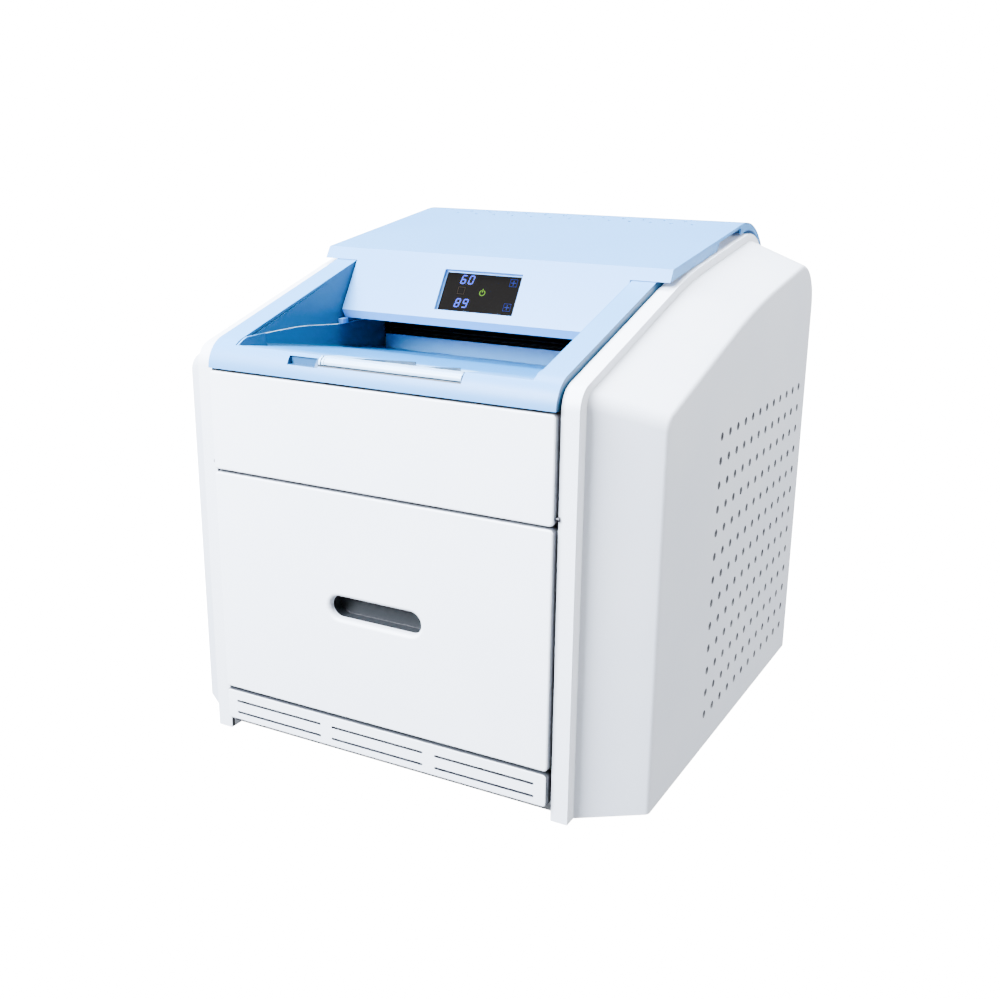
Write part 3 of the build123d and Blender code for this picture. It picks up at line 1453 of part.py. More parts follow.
with BuildPart() as scan_lens:
    lens_low = optic_bottom + optic_wall
    with BuildSketch(level_plane(lens_low)):
        with BuildLine():
            ThreePointArc((-lens_half, lens_back), (0, lens_back - lens_sag), (lens_half, lens_back))
            Line((lens_half, lens_back), (lens_half, lens_back + lens_edge))
            lens_rear = lens_back + lens_edge
            ThreePointArc((lens_half, lens_rear), (0, lens_rear + lens_sag / 2), (-lens_half, lens_rear))
            Line((-lens_half, lens_rear), (-lens_half, lens_back))
        make_face()
    extrude(amount=beam_up - lens_low + beam_slot_height)
scan_lens.part.label = "scan_lens"
export_step(scan_lens.part, "parts/scan_lens.step")

with BuildPart() as laser_module:
    laser_span = (laser_x, laser_x + laser_length)
    laser_deep = (polygon_back - laser_size / 2, polygon_back + laser_size / 2)
    block(laser_span, laser_deep, (lens_low, beam_up + laser_size / 2))
    bar((laser_span[1], laser_span[1] + laser_nose), polygon_back, beam_up, laser_nose / 2)
laser_module.part.label = "laser_module"
export_step(laser_module.part, "parts/laser_module.step")

# power supply in a louvred case, and the control board on its spacers
supply_bottom = base_top + touch
with BuildPart() as power_supply:
    supply_deep = (supply_front, supply_front + supply_length)
    block((supply_x, supply_x + supply_width), supply_deep, (supply_bottom, supply_bottom + supply_height))
    chamfer(power_supply.edges().filter_by(Axis.Y).group_by(Axis.Z)[-1], case_edge)
    with BuildSketch(front_plane(supply_front)):
        with Locations((supply_x + supply_width / 2, supply_bottom + supply_height / 2)):
            with GridLocations(case_slot_pitch, 0, case_slots, 1):
                SlotOverall(supply_height / 2, case_slot_pitch / 3, rotation=90)
    extrude(amount=-case_slot_depth, mode=Mode.SUBTRACT)
power_supply.part.label = "power_supply"
export_step(power_supply.part, "parts/power_supply.step")

board_up = base_top + spacer_height
with BuildPart() as control_board:
    logic_deep = (logic_front, logic_front + logic_length)
    block((logic_x, logic_x + logic_width), logic_deep, (board_up, board_up + board_thick))
    for across in (logic_x + spacer_inset, logic_x + logic_width - spacer_inset):
        for back in (logic_front + spacer_inset, logic_front + logic_length - spacer_inset):
            post(across, back, (base_top, board_up), spacer_radius)
    for across, back, size, height in board_parts:
        start_x = logic_x + across
        start_back = logic_front + back
        part_low = board_up + board_thick
        block((start_x, start_x + size), (start_back, start_back + size), (part_low, part_low + height))
control_board.part.label = "control_board"
export_step(control_board.part, "parts/control_board.step")

# exhaust fan behind the drum: its frame, its rotor and the wire guard
fan_front = rear_face - rear_sheet - fan_depth
with BuildPart() as fan_frame:
    fan_span = (fan_front, rear_face - rear_sheet)
    with BuildSketch(front_plane(fan_front)):
        with Locations((fan_x, fan_up)):
            RectangleRounded(fan_size, fan_size, panel_corner)
            Circle(fan_bore, mode=Mode.SUBTRACT)
    extrude(amount=-fan_depth)
    spoke = fan_hub / 3
    with BuildSketch(front_plane(fan_front)):
        with Locations((fan_x, fan_up)):
            Circle(fan_hub)
            Rectangle(2 * fan_bore + spoke, spoke)
            Rectangle(spoke, 2 * fan_bore + spoke)
    extrude(amount=-fan_spoke_depth)
    with BuildSketch(front_plane(fan_front)):
        with Locations((fan_x, fan_up)):
            Circle(polygon_post + running)
    extrude(amount=-fan_spoke_depth, mode=Mode.SUBTRACT)
fan_frame.part.label = "fan_frame"
export_step(fan_frame.part, "parts/fan_frame.step")

with BuildPart() as fan_rotor:
    rotor_front = fan_front + fan_spoke_depth + running_gap
    rotor_depth = fan_depth - fan_spoke_depth - 2 * running_gap
    with BuildSketch(front_plane(rotor_front)):
        with Locations((fan_x, fan_up)):
            Circle(fan_hub)
    extrude(amount=-rotor_depth)
    with BuildSketch(front_plane(fan_front + running_gap)):
        with Locations((fan_x, fan_up)):
            Circle(polygon_post)
    extrude(amount=-fan_spoke_depth)
    with Locations(front_plane(rotor_front + rotor_depth / 2)):
        with Locations((fan_x, fan_up)):
            with PolarLocations(0, fan_blades):
                blade_mid = (fan_hub + fan_blade - fan_blade_thick) / 2
                with Locations(Location((blade_mid, 0, 0), (fan_pitch, 0, 0))):
                    Box(fan_blade - fan_hub, rotor_depth, fan_blade_thick)
fan_rotor.part.label = "fan_rotor"
export_step(fan_rotor.part, "parts/fan_rotor.step")

with BuildPart() as fan_guard:
    with BuildSketch(front_plane(rear_face)):
        with Locations((fan_x, fan_up)):
            for ring in range(1, guard_rings + 1):
                Circle(ring * fan_bore / guard_rings + guard_wire)
                Circle(ring * fan_bore / guard_rings - guard_wire, mode=Mode.SUBTRACT)
            Rectangle(2 * fan_bore + fan_hub, 2 * guard_wire, rotation=45)
            Rectangle(2 * fan_bore + fan_hub, 2 * guard_wire, rotation=-45)
    extrude(amount=-guard_wire)
fan_guard.part.label = "fan_guard"
export_step(fan_guard.part, "parts/fan_guard.step")

# mains inlet: a moulded body with three pins, an opening for the power rocker and its bearings
socket_up = inlet_up - inlet_height / 2 + inlet_flange + socket_height / 2
rocker_up = inlet_up + inlet_height / 2 - inlet_flange - rocker_length / 2
with BuildPart() as mains_inlet:
    with BuildSketch(front_plane(rear_face)):
        with Locations((inlet_x, inlet_up)):
            RectangleRounded(inlet_width + 2 * inlet_flange, inlet_height + inlet_flange, inlet_flange / 2)
    extrude(amount=-screw_head)
    with BuildSketch(front_plane(rear_face)):
        with Locations((inlet_x, inlet_up)):
            Rectangle(inlet_width - 2 * touch, inlet_height - 2 * touch)
    extrude(amount=inlet_body)
    with BuildSketch(front_plane(rear_face + screw_head)):
        with Locations((inlet_x, socket_up)):
            RectangleRounded(socket_width, socket_height, inlet_flange / 2)
        with Locations((inlet_x, rocker_up)):
            Rectangle(rocker_width, rocker_length)
    extrude(amount=socket_depth + screw_head, mode=Mode.SUBTRACT)
    with BuildSketch(front_plane(rear_face - socket_depth)):
        with Locations((inlet_x, socket_up)):
            with Locations((-pin_pitch, -pin_drop), (0, pin_drop), (pin_pitch, -pin_drop)):
                Rectangle(pin_thick, pin_broad)
    extrude(amount=-pin_length)
    bearing_half = rocker_width / 2 + rocker_pin_end
    bar((inlet_x - bearing_half, inlet_x + bearing_half), rear_face - rocker_sink, rocker_up,
        rocker_pin + running, mode=Mode.SUBTRACT)
mains_inlet.part.label = "mains_inlet"
export_step(mains_inlet.part, "parts/mains_inlet.step")

with BuildPart() as power_rocker:
    half_width = rocker_width / 2 - touch
    half_length = rocker_length / 2 - rocker_gap
    tilt = radians(rocker_tilt)
    rise = half_length * tan(tilt)
    rocker_shape = rounded_outline(
        side_plane(inlet_x - half_width),
        [
            (rear_face - rocker_sink, rocker_up - rocker_sink, 0),
            (rear_face + screw_head - rise, rocker_up - half_length, 0),
            (rear_face + screw_head, rocker_up, 0),
            (rear_face + screw_head - rise, rocker_up + half_length, 0),
            (rear_face - rocker_sink, rocker_up + rocker_sink, 0),
        ],
    )
    extrude(rocker_shape, amount=2 * half_width)
    pin_half = half_width + rocker_pin_end
    bar((inlet_x - pin_half, inlet_x + pin_half), rear_face - rocker_sink, rocker_up, rocker_pin)
power_rocker.part.label = "power_rocker"
export_step(power_rocker.part, "parts/power_rocker.step")

with BuildPart() as network_socket:
    with BuildSketch(front_plane(rear_face)):
        with Locations((network_x, inlet_up)):
            Rectangle(network_width, network_height)
    extrude(amount=socket_depth + network_wall)
    with BuildSketch(front_plane(rear_face)):
        with Locations((network_x, inlet_up)):
            Rectangle(network_hole, network_hole)
    extrude(amount=socket_depth, mode=Mode.SUBTRACT)
    with BuildSketch(front_plane(rear_face - rear_sheet - touch)):
        with Locations((network_x, inlet_up)):
            Rectangle(network_width + 2 * network_wall, network_height + 2 * network_wall)
            Rectangle(network_hole, network_hole, mode=Mode.SUBTRACT)
    extrude(amount=network_wall)
network_socket.part.label = "network_socket"
export_step(network_socket.part, "parts/network_socket.step")
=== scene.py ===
"""Medical dry laser imager on a white sweep: its finish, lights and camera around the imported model.

The object is put together from the outside inwards: stage and camera first, then the side covers and
frames, the front panels, the tray and its frame, the film stopper, the hinged top cover with its display,
and last the chassis, the rear and what the covers hide.
"""
from math import cos, pi, radians, sin, tan

import bpy
import numpy as np
from mathutils import Matrix, Vector
from mathutils.geometry import delaunay_2d_cdt


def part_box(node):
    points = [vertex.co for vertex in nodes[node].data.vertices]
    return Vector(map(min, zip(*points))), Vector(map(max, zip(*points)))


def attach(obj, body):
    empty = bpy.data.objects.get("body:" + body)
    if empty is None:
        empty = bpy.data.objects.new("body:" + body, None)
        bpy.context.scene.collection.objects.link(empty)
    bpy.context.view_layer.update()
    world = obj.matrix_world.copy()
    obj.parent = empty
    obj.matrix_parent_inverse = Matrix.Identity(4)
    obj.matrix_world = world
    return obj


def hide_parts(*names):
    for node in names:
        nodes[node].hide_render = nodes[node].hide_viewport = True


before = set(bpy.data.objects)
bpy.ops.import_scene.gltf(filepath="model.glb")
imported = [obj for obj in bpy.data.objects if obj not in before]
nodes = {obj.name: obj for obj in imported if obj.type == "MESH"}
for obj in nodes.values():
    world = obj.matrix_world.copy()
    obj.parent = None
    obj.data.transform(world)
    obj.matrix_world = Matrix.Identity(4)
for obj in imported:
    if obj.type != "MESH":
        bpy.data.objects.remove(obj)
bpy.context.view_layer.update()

# Stage: a matt white paper sweep under the imager, in a white tent, with softboxes in front, above and at the
# right. The paper glows, so it reads as pure white without a shadow, and it lights no piece by itself.


def linear(hex_colour):
    """sRGB hex value turned to linear light: up to 0.04045 the value is divided by 12.92, and above it 0.055
    is added, the sum divided by 1.055 and raised to the power 2.4."""
    value = np.array([int(hex_colour[i : i + 2], 16) / 255 for i in (1, 3, 5)])
    light = np.where(value <= 0.04045, value / 12.92, ((value + 0.055) / 1.055) ** 2.4)
    return (*light.tolist(), 1.0)


def feed(node, inputs):
    """Links sockets to a node's inputs, or sets plain values there, by the inputs' names or numbers."""
    for name, value in inputs.items():
        if isinstance(value, bpy.types.NodeSocket):
            node.id_data.links.new(value, node.inputs[name])
        else:
            node.inputs[name].default_value = value


def add_node(tree, kind, inputs=None, **settings):
    """Adds one shader node with its settings and its inputs."""
    node = tree.nodes.new(kind)
    for name, value in settings.items():
        setattr(node, name, value)
    feed(node, inputs or {})
    return node


def maths(operation, *inputs, **settings):
    """One calculation: the first input is a socket, and the others are sockets or plain numbers."""
    settings["operation"] = operation
    return add_node(inputs[0].id_data, "ShaderNodeMath", dict(enumerate(inputs)), **settings).outputs[0]


def mapped(value, low, high, start=0.0, end=1.0, **settings):
    """Turns the range from low to high into the range from start to end, and holds it at both ends."""
    inputs = {"Value": value, "From Min": low, "From Max": high, "To Min": start, "To Max": end}
    return add_node(value.id_data, "ShaderNodeMapRange", inputs, **settings).outputs[0]


def blend(amount, first, second):
    """A colour between two, each a hex value or a socket, by an amount from 0 to 1."""
    first, second = (linear(one) if isinstance(one, str) else one for one in (first, second))
    inputs = {0: amount, 6: first, 7: second}
    return add_node(amount.id_data, "ShaderNodeMix", inputs, data_type="RGBA").outputs[2]


def noise(place, width, detail, **more):
    """Noise with patches about the given width in metres."""
    inputs = {"Vector": place, "Scale": 1 / width, "Detail": detail, **more}
    return add_node(place.id_data, "ShaderNodeTexNoise", inputs).outputs["Fac"]


def bumps(height, strength, distance):
    """Relief from a height, whose full rise is the distance in metres."""
    inputs = {"Height": height, "Strength": strength, "Distance": distance}
    return add_node(height.id_data, "ShaderNodeBump", inputs).outputs[0]


def axes_of(vector):
    """X, Y and Z of a vector."""
    return add_node(vector.id_data, "ShaderNodeSeparateXYZ", {0: vector}).outputs


def modify(piece, name, kind, **settings):
    """Adds one modifier with its settings."""
    added = piece.modifiers.new(name, kind)
    for setting, value in settings.items():
        setattr(added, setting, value)


def new_material(name):
    """A named material, its shader and its object coordinates."""
    made = bpy.data.materials.new(name)
    made.use_nodes = True
    tree = made.node_tree
    tree.nodes.clear()
    shader = add_node(tree, "ShaderNodeBsdfPrincipled")
    add_node(tree, "ShaderNodeOutputMaterial", {"Surface": shader.outputs[0]})
    return made, shader, add_node(tree, "ShaderNodeTexCoord").outputs["Object"]


def new_piece(name, points, faces, smooth=True):
    """A mesh object at the origin, from points in metres and faces of point numbers."""
    mesh = bpy.data.meshes.new(name)
    mesh.from_pydata(np.asarray(points, float).tolist(), [], [list(map(int, face)) for face in faces])
    mesh.polygons.foreach_set("use_smooth", [smooth] * len(mesh.polygons))
    made = bpy.data.objects.new(name, mesh)
    bpy.context.scene.collection.objects.link(made)
    return made


mm = 0.001
floor_half = 4.5
floor_glow = 16.0
sweep_corners = [(-floor_half, -floor_half, 0), (floor_half, -floor_half, 0),
                 (floor_half, floor_half, 0), (-floor_half, floor_half, 0)]
table = new_piece("paper_sweep", sweep_corners, [(0, 1, 2, 3)])
paper, shader, _ = new_material("matt_white_paper")
feed(shader, {"Base Color": linear("#F8F9FA"), "Roughness": 0.9, "Emission Color": linear("#FFFFFF"),
              "Emission Strength": floor_glow})
table.data.materials.append(paper)
table.visible_diffuse = False
table.visible_glossy = False

tent_light = 0.58
backdrop_light = 18.0
tent = bpy.data.worlds.new("white_tent")
bpy.context.scene.world = tent
tent.use_nodes = True
tree = tent.node_tree
tree.nodes.clear()
even = add_node(tree, "ShaderNodeBackground", {"Color": linear("#F4F7FF"), "Strength": tent_light})
backdrop = add_node(tree, "ShaderNodeBackground", {"Color": linear("#FFFFFF"), "Strength": backdrop_light})
seen = add_node(tree, "ShaderNodeLightPath").outputs["Is Camera Ray"]
mixed = add_node(tree, "ShaderNodeMixShader", {0: seen, 1: even.outputs[0], 2: backdrop.outputs[0]})
add_node(tree, "ShaderNodeOutputWorld", {"Surface": mixed.outputs[0]})


def softbox(name, place, aim, size, power, colour):
    """A square area lamp at a place, turned so that its -Z axis points at the aim."""
    lamp = bpy.data.lights.new(name, "AREA")
    lamp.size = size
    lamp.energy = power
    lamp.color = linear(colour)[:3]
    made = bpy.data.objects.new(name, lamp)
    made.location = place
    made.rotation_euler = (Vector(aim) - Vector(place)).to_track_quat("-Z", "Y").to_euler()
    bpy.context.scene.collection.objects.link(made)


softbox("front_softbox", (-0.8, -2.1, 1.9), (0, -0.2, 0.35), 1.3, 670, "#EEF4FF")
softbox("top_softbox", (-0.2, 0.1, 2.6), (0, 0, 0.4), 1.2, 290, "#F6F9FF")
softbox("side_softbox", (2.6, 0.5, 1.5), (0.3, 0, 0.3), 1.0, 105, "#FFFFFF")

# Camera at the photograph's viewing angle, a 44.5 mm lens in front and to the right of the imager. Its place,
# in metres, its turn and its focal length were fitted to the machine's corners.
yaw = radians(27.98)
pitch = radians(17.06)
roll = radians(-0.70)
camera_place = (0.7130, -1.3468, 0.7213)
focal_pixels = 1237.3
picture_pixels = 1000.0
forward = Vector((-sin(yaw) * cos(pitch), cos(yaw) * cos(pitch), -sin(pitch)))
level = Vector((cos(yaw), sin(yaw), 0))
down = forward.cross(level)
right = cos(roll) * level + sin(roll) * down
down = -sin(roll) * level + cos(roll) * down
lens = bpy.data.cameras.new("photo_camera")
lens.sensor_width = 36.0
lens.lens = focal_pixels / picture_pixels * lens.sensor_width
camera = bpy.data.objects.new("photo_camera", lens)
axes = (right, -down, -forward, Vector(camera_place))
camera.matrix_world = Matrix([[axis[row] for axis in axes] for row in range(3)] + [[0, 0, 0, 1]])
bpy.context.scene.collection.objects.link(camera)
bpy.context.scene.camera = camera

# Side covers: tall slanted shells hooked over the side frames, each with a field of vent holes. White blend
# of ABS and polycarbonate, injection moulded 3 mm thick, with soft edges and a fine spark-eroded grain that
# keeps the light even over the large faces.


def moulded_plastic(name, colour, shade, roughness, grain, relief):
    """Injection-moulded plastic: a matt grain from the eroded mould, a faint drift of colour over the panel
    where the melt cooled unevenly, and slightly glossier spots on the tops of the grain. The grain's width
    and its relief are in metres."""
    made, shader, place = new_material(name)
    drift = mapped(noise(place, 140 * mm, 3.0), 0.32, 0.68)
    fine = noise(place, grain, 2.0, Roughness=0.6)
    amount = maths("ADD", drift, maths("MULTIPLY_ADD", fine, 0.45, -0.2), use_clamp=True)
    feed(shader, {"Base Color": blend(amount, shade, colour),
                  "Roughness": mapped(fine, 0.3, 0.7, roughness + 0.06, roughness - 0.05),
                  "Normal": bumps(fine, 0.5, relief), "IOR": 1.53})
    return made


def shader_of(made):
    """A material's shader and its object coordinates."""
    kinds = {node.type: node for node in made.node_tree.nodes}
    return kinds["BSDF_PRINCIPLED"], kinds["TEX_COORD"].outputs["Object"]


def inside_box(place, low, high):
    """1 inside a box given by two corners in metres, 0 outside: on each axis the distance from the middle is
    compared with half the size, and the three answers are multiplied."""
    across, along, upwards = (maths("COMPARE", value, (first + last) / 2, (last - first) / 2)
                              for value, first, last in zip(axes_of(place), low, high))
    return maths("MULTIPLY", maths("MULTIPLY", across, along), upwards)


def laid_over(shader, amount, colour):
    """Puts another colour over what feeds the shader so far, by an amount from 0 to 1."""
    below = shader.inputs["Base Color"].links[0].from_socket
    feed(shader, {"Base Color": blend(amount, below, colour)})


# The mould's grain is about 0.3 mm wide. It is drawn at 1.6 mm, as coarse as it needs to be to show in the
# render. The cut rims of the vents and the covers' edges are painted grey as painted shade.
drawn_grain = 1.6 * mm
white_abs = moulded_plastic("grained_white_abs", "#E2E8F2", "#DCE3EF", 0.5, drawn_grain, 0.06 * mm)
vent_rim_shade_abs = moulded_plastic("grey_rim_painted_shade_abs", "#9CA0A6", "#92969C", 0.6, drawn_grain, 0.06 * mm)
axis_back = 297.5
foot_gap = 4.0


def in_frame(side, across, back, up):
    """Points in the frame, from millimetres: x is across times the side, 1 or -1, back is measured from the
    front plane, and up from the covers' foot."""
    across, back, up = np.broadcast_arrays(across, back, up)
    return np.stack([side * across, back - axis_back, up + foot_gap], axis=-1) * mm


def lowered(line, drop):
    """A line (back, up, slope) moved by drop along its downward normal."""
    back, up, slope = line
    return back + drop * sin(slope), up - drop * cos(slope), slope


def height_at(line, back):
    """Height of a line at one distance back."""
    return line[1] + (back - line[0]) * tan(line[2])


def crossing(first, second):
    """Where two lines meet: equal heights give the distance back."""
    slopes = tan(first[2]) - tan(second[2])
    back = (second[1] - first[1] + first[0] * tan(first[2]) - second[0] * tan(second[2])) / slopes
    return back, height_at(first, back)


def rounded_path(corners, radii, straight=12, arc=14):
    """Points along a path whose inner corners are arcs. Each arc touches both legs at radius times the
    tangent of half the turn from its corner. Legs are cut into equal steps, so that two such paths match
    point by point."""
    corners = np.array(corners, float)
    legs = np.diff(corners, axis=0)
    legs /= np.linalg.norm(legs, axis=1)[:, None]
    path, start = [], corners[0]
    for number, radius in enumerate(radii):
        corner, into, out = corners[number + 1], legs[number], legs[number + 1]
        turn = np.arctan2(into[0] * out[1] - into[1] * out[0], into @ out)
        reach = radius * np.tan(abs(turn) / 2)
        normal = np.sign(turn) * np.array([-into[1], into[0]])
        centre = corner - reach * into + radius * normal
        path.append(start + np.linspace(0, 1, straight)[:-1, None] * (corner - reach * into - start))
        angles = np.linspace(0, turn, arc)[:, None]
        spoke = -radius * normal
        path.append(centre + np.cos(angles) * spoke + np.sin(angles) * np.array([-spoke[1], spoke[0]]))
        start = path[-1][-1]
        path[-1] = path[-1][:-1]
    path.append(start + np.linspace(0, 1, straight)[:, None] * (corners[-1] - start))
    return np.concatenate(path)


rail_line = (0.0, 474.0, radians(16.2))
lid_line = (259.0, 561.5, radians(8.0))
machine_depth = 595.0
rail_cover_drop, lid_cover_drop = 17.1, 23.6
frame_outer = 236.7
cover_outer = 304.5
seat = 0.3
cover_skin = 3.0


def cover_loop(front, drop, rear_drop, radii):
    """Outline of a side cover seen from the side: up the front, along the rail's slope, along the lid's slope
    and down the rear, each slope lowered square to itself by its drop."""
    first = lowered(rail_line, rail_cover_drop + drop)
    second = lowered(lid_line, lid_cover_drop + rear_drop)
    knee = crossing(first, second)
    corners = [(front, 0), (front, height_at(first, front)), knee,
               (machine_depth, height_at(second, machine_depth)), (machine_depth, 0)]
    return rounded_path(corners, radii)


def settle(piece, sharpness=35):
    """Keeps the shape that the modifiers give as the piece's own mesh, smooth except where two faces turn by
    more than the given degrees."""
    shaped = piece.evaluated_get(bpy.context.evaluated_depsgraph_get())
    mesh = bpy.data.meshes.new_from_object(shaped)
    piece.modifiers.clear()
    piece.data = mesh
    mesh.name = piece.name
    mesh.set_sharp_from_angle(angle=radians(sharpness))


near_outline = (24.5, 0, 0, (18, 700, 79))
far_outline = (71.0, 37, 32.5, (18, 1200, 57))
edge_blend = 4.5
blend_steps = 7
band_shares = (0, 0.02, 0.05, 0.3, 0.6, 0.85, 1)
vent_radius = 5.0
vent_columns, vent_rows = 12, 13
vent_pitch_back, vent_pitch_up = 28.6, 28.35
vent_first_back, vent_first_up = 243.3, 44.2
vent_sides = 20


def grid_faces(shape):
    """Four-sided faces of a grid of points numbered row by row: each joins a point, the one below it in the
    next row, that one's neighbour, and the point's own neighbour."""
    grid = np.arange(shape[0] * shape[1]).reshape(shape)
    return np.stack([grid[:-1, :-1], grid[1:, :-1], grid[1:, 1:], grid[:-1, 1:]], axis=-1).reshape(-1, 4)


def side_cover(label, side):
    """One cover: a ruled band from the near outline to the far one, a parabola that leaves the band and lands
    on the flat face with both ends tangent, and the flat face, filled by a Delaunay mesh around the vents."""
    near = cover_loop(*near_outline)
    far = cover_loop(*far_outline)
    ends = np.concatenate([far[:1], far, far[-1:]])
    along = ends[2:] - ends[:-2]
    along /= np.linalg.norm(along, axis=1)[:, None]
    inward = np.stack([along[:, 1], -along[:, 0]], axis=1)
    inward[0] = (1, 0)
    inward[-1] = (-1, 0)
    rim = np.concatenate([np.full((len(near), 1), frame_outer + seat), near], axis=1)
    edge = np.concatenate([np.full((len(far), 1), cover_outer), far], axis=1)
    slant = edge - rim
    length = np.linalg.norm(slant, axis=1)[:, None]
    slant /= length
    landing = edge + edge_blend * np.concatenate([np.zeros((len(far), 1)), inward], axis=1)
    share = np.array(band_shares)[:, None, None]
    band = rim + share * (length - edge_blend) * slant
    bend = np.linspace(0, 1, blend_steps + 1)[1:, None, None]
    soft = edge - edge_blend * (1 - bend) ** 2 * slant + bend**2 * (landing - edge)
    rows = np.concatenate([band, soft])
    count, width = rows.shape[:2]
    quads = grid_faces((count, width))
    turn = np.linspace(0, 2 * pi, vent_sides, endpoint=False)
    back = vent_first_back + vent_pitch_back * np.arange(vent_columns)
    up = vent_first_up + vent_pitch_up * np.arange(vent_rows)
    back, up, angle = np.meshgrid(back, up, turn, indexing="ij")
    holes = np.stack([back + vent_radius * np.cos(angle), up + vent_radius * np.sin(angle)], axis=-1)
    loops = [rows[-1][:, 1:], *holes.reshape(-1, vent_sides, 2)]
    firsts = np.cumsum([0] + [len(loop) for loop in loops])
    rings = [list(range(first, last)) for first, last in zip(firsts[:-1], firsts[1:])]
    corners = [Vector(point) for point in np.concatenate(loops).tolist()]
    within_rings = 2
    merge_below = 1e-7
    flat, _, triangles, *_ = delaunay_2d_cdt(corners, [], rings, within_rings, merge_below)
    flat = np.array([point[:] for point in flat])
    points = np.concatenate([in_frame(side, rows[..., 0], rows[..., 1], rows[..., 2]).reshape(-1, 3),
                             in_frame(side, cover_outer, flat[:, 0], flat[:, 1])])
    faces = [*quads.tolist(), *(np.array(triangles) + count * width).tolist()]
    made = new_piece(f"{label}_cover_shell", points, faces if side > 0 else [face[::-1] for face in faces])
    modify(made, "joined_seam", "WELD", merge_threshold=0.01 * mm)
    # The rim faces, the vents' walls and the cover's cut edges, take the grey of painted shade.
    modify(made, "skin", "SOLIDIFY", thickness=cover_skin * mm, offset=-1, material_offset_rim=1)
    made.data.materials.append(white_abs)
    made.data.materials.append(vent_rim_shade_abs)
    settle(made)
    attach(made, "root")
    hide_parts(f"{label}_side_cover")


# Filter mats: a pleated grey felt behind each field of vents, which keeps dust out of the machine. Needled
# polyester, 1.2 mm thick, clipped to the inside of its cover.


def pressed_fibre(name, colour, shade, fibre, relief):
    """Card or felt: short fibres of the given width in metres, drawn out about eight times along X, over each
    other."""
    made, shader, place = new_material(name)
    drawn_out = add_node(place.id_data, "ShaderNodeMapping", {"Vector": place, "Scale": (0.12, 1.0, 1.0)})
    fibres = noise(drawn_out.outputs[0], fibre, 4.0)
    feed(shader, {"Base Color": blend(mapped(fibres, 0.35, 0.65), shade, colour),
                  "Normal": bumps(fibres, 0.5, relief), "Roughness": 0.85})
    return made


mat_thick, mat_pleat, mat_margin, mat_gap = 1.2, 9.0, 12.0, 1.0
mat_rows = 240
filter_mat = pressed_fibre("grey_filter_mat", "#A6A9AD", "#8E9296", 0.9 * mm, 0.3 * mm)


def vent_mat(label, side):
    """One mat: a sheet a little larger than the field of vents, whose depth is a sine of the height with one
    pleat to 9 mm."""
    field_back = (vent_columns - 1) * vent_pitch_back
    field_up = (vent_rows - 1) * vent_pitch_up
    back = np.linspace(vent_first_back - mat_margin, vent_first_back + field_back + mat_margin, 3)
    up = np.linspace(vent_first_up - mat_margin, vent_first_up + field_up + mat_margin, mat_rows)
    back, up = np.meshgrid(back, up, indexing="ij")
    pleat = 0.5 * mat_thick * (1 + np.sin(2 * pi * up / mat_pleat))
    points = in_frame(side, cover_outer - cover_skin - mat_gap - pleat, back, up).reshape(-1, 3)
    quads = grid_faces(back.shape)
    mat = new_piece(f"{label}_vent_mat", points, quads if side > 0 else quads[:, ::-1])
    modify(mat, "felt", "SOLIDIFY", thickness=mat_thick * mm, offset=-1)
    mat.data.materials.append(filter_mat)
    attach(mat, "root")


# Each side gets its cover first, then the mat behind it.
for label, side in (("right", 1), ("left", -1)):
    side_cover(label, side)
    vent_mat(label, side)

# Side frames: channel mouldings between the machine's plates and the covers. Their front edges are the white
# bands beside the panels. Grained white ABS with rounded edges, screwed to the plates; the faces in the joint
# beside the panels are painted dark grey as painted shade.


def ease_edges(names, made, width, sharpness=30):
    """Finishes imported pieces: the triangles are welded, flat ones joined, and every edge that turns by more
    than the given degrees gets a rounded bevel of the given width, shaded by the larger faces."""
    for name in names:
        piece = nodes[name]
        piece.data.materials.clear()
        piece.data.materials.append(made)
        modify(piece, "welded", "WELD", merge_threshold=0.002 * mm)
        modify(piece, "flat_joined", "DECIMATE", decimate_type="DISSOLVE", angle_limit=radians(0.5))
        if width:
            modify(piece, "soft_edges", "BEVEL", width=width, segments=3, limit_method="ANGLE",
                   angle_limit=radians(sharpness))
        modify(piece, "even_shading", "WEIGHTED_NORMAL", weight=80)
        piece.data.polygons.foreach_set("use_smooth", [True] * len(piece.data.polygons))


band_white = moulded_plastic("banded_white_abs", "#E9EEF6", "#E4EAF3", 0.46, drawn_grain, 0.06 * mm)
joint_wall = 217.1 * mm
joint_reach = -285.0 * mm
shader, place = shader_of(band_white)
# Painted shade: the faces inside the panels' width and behind their front, in the joint, are dark grey.
laid_over(shader, inside_box(place, (-joint_wall, -1, -1), (joint_wall, joint_reach, 1)), "#3E4147")
ease_edges(["left_side_frame", "right_side_frame"], band_white, 1.6 * mm)

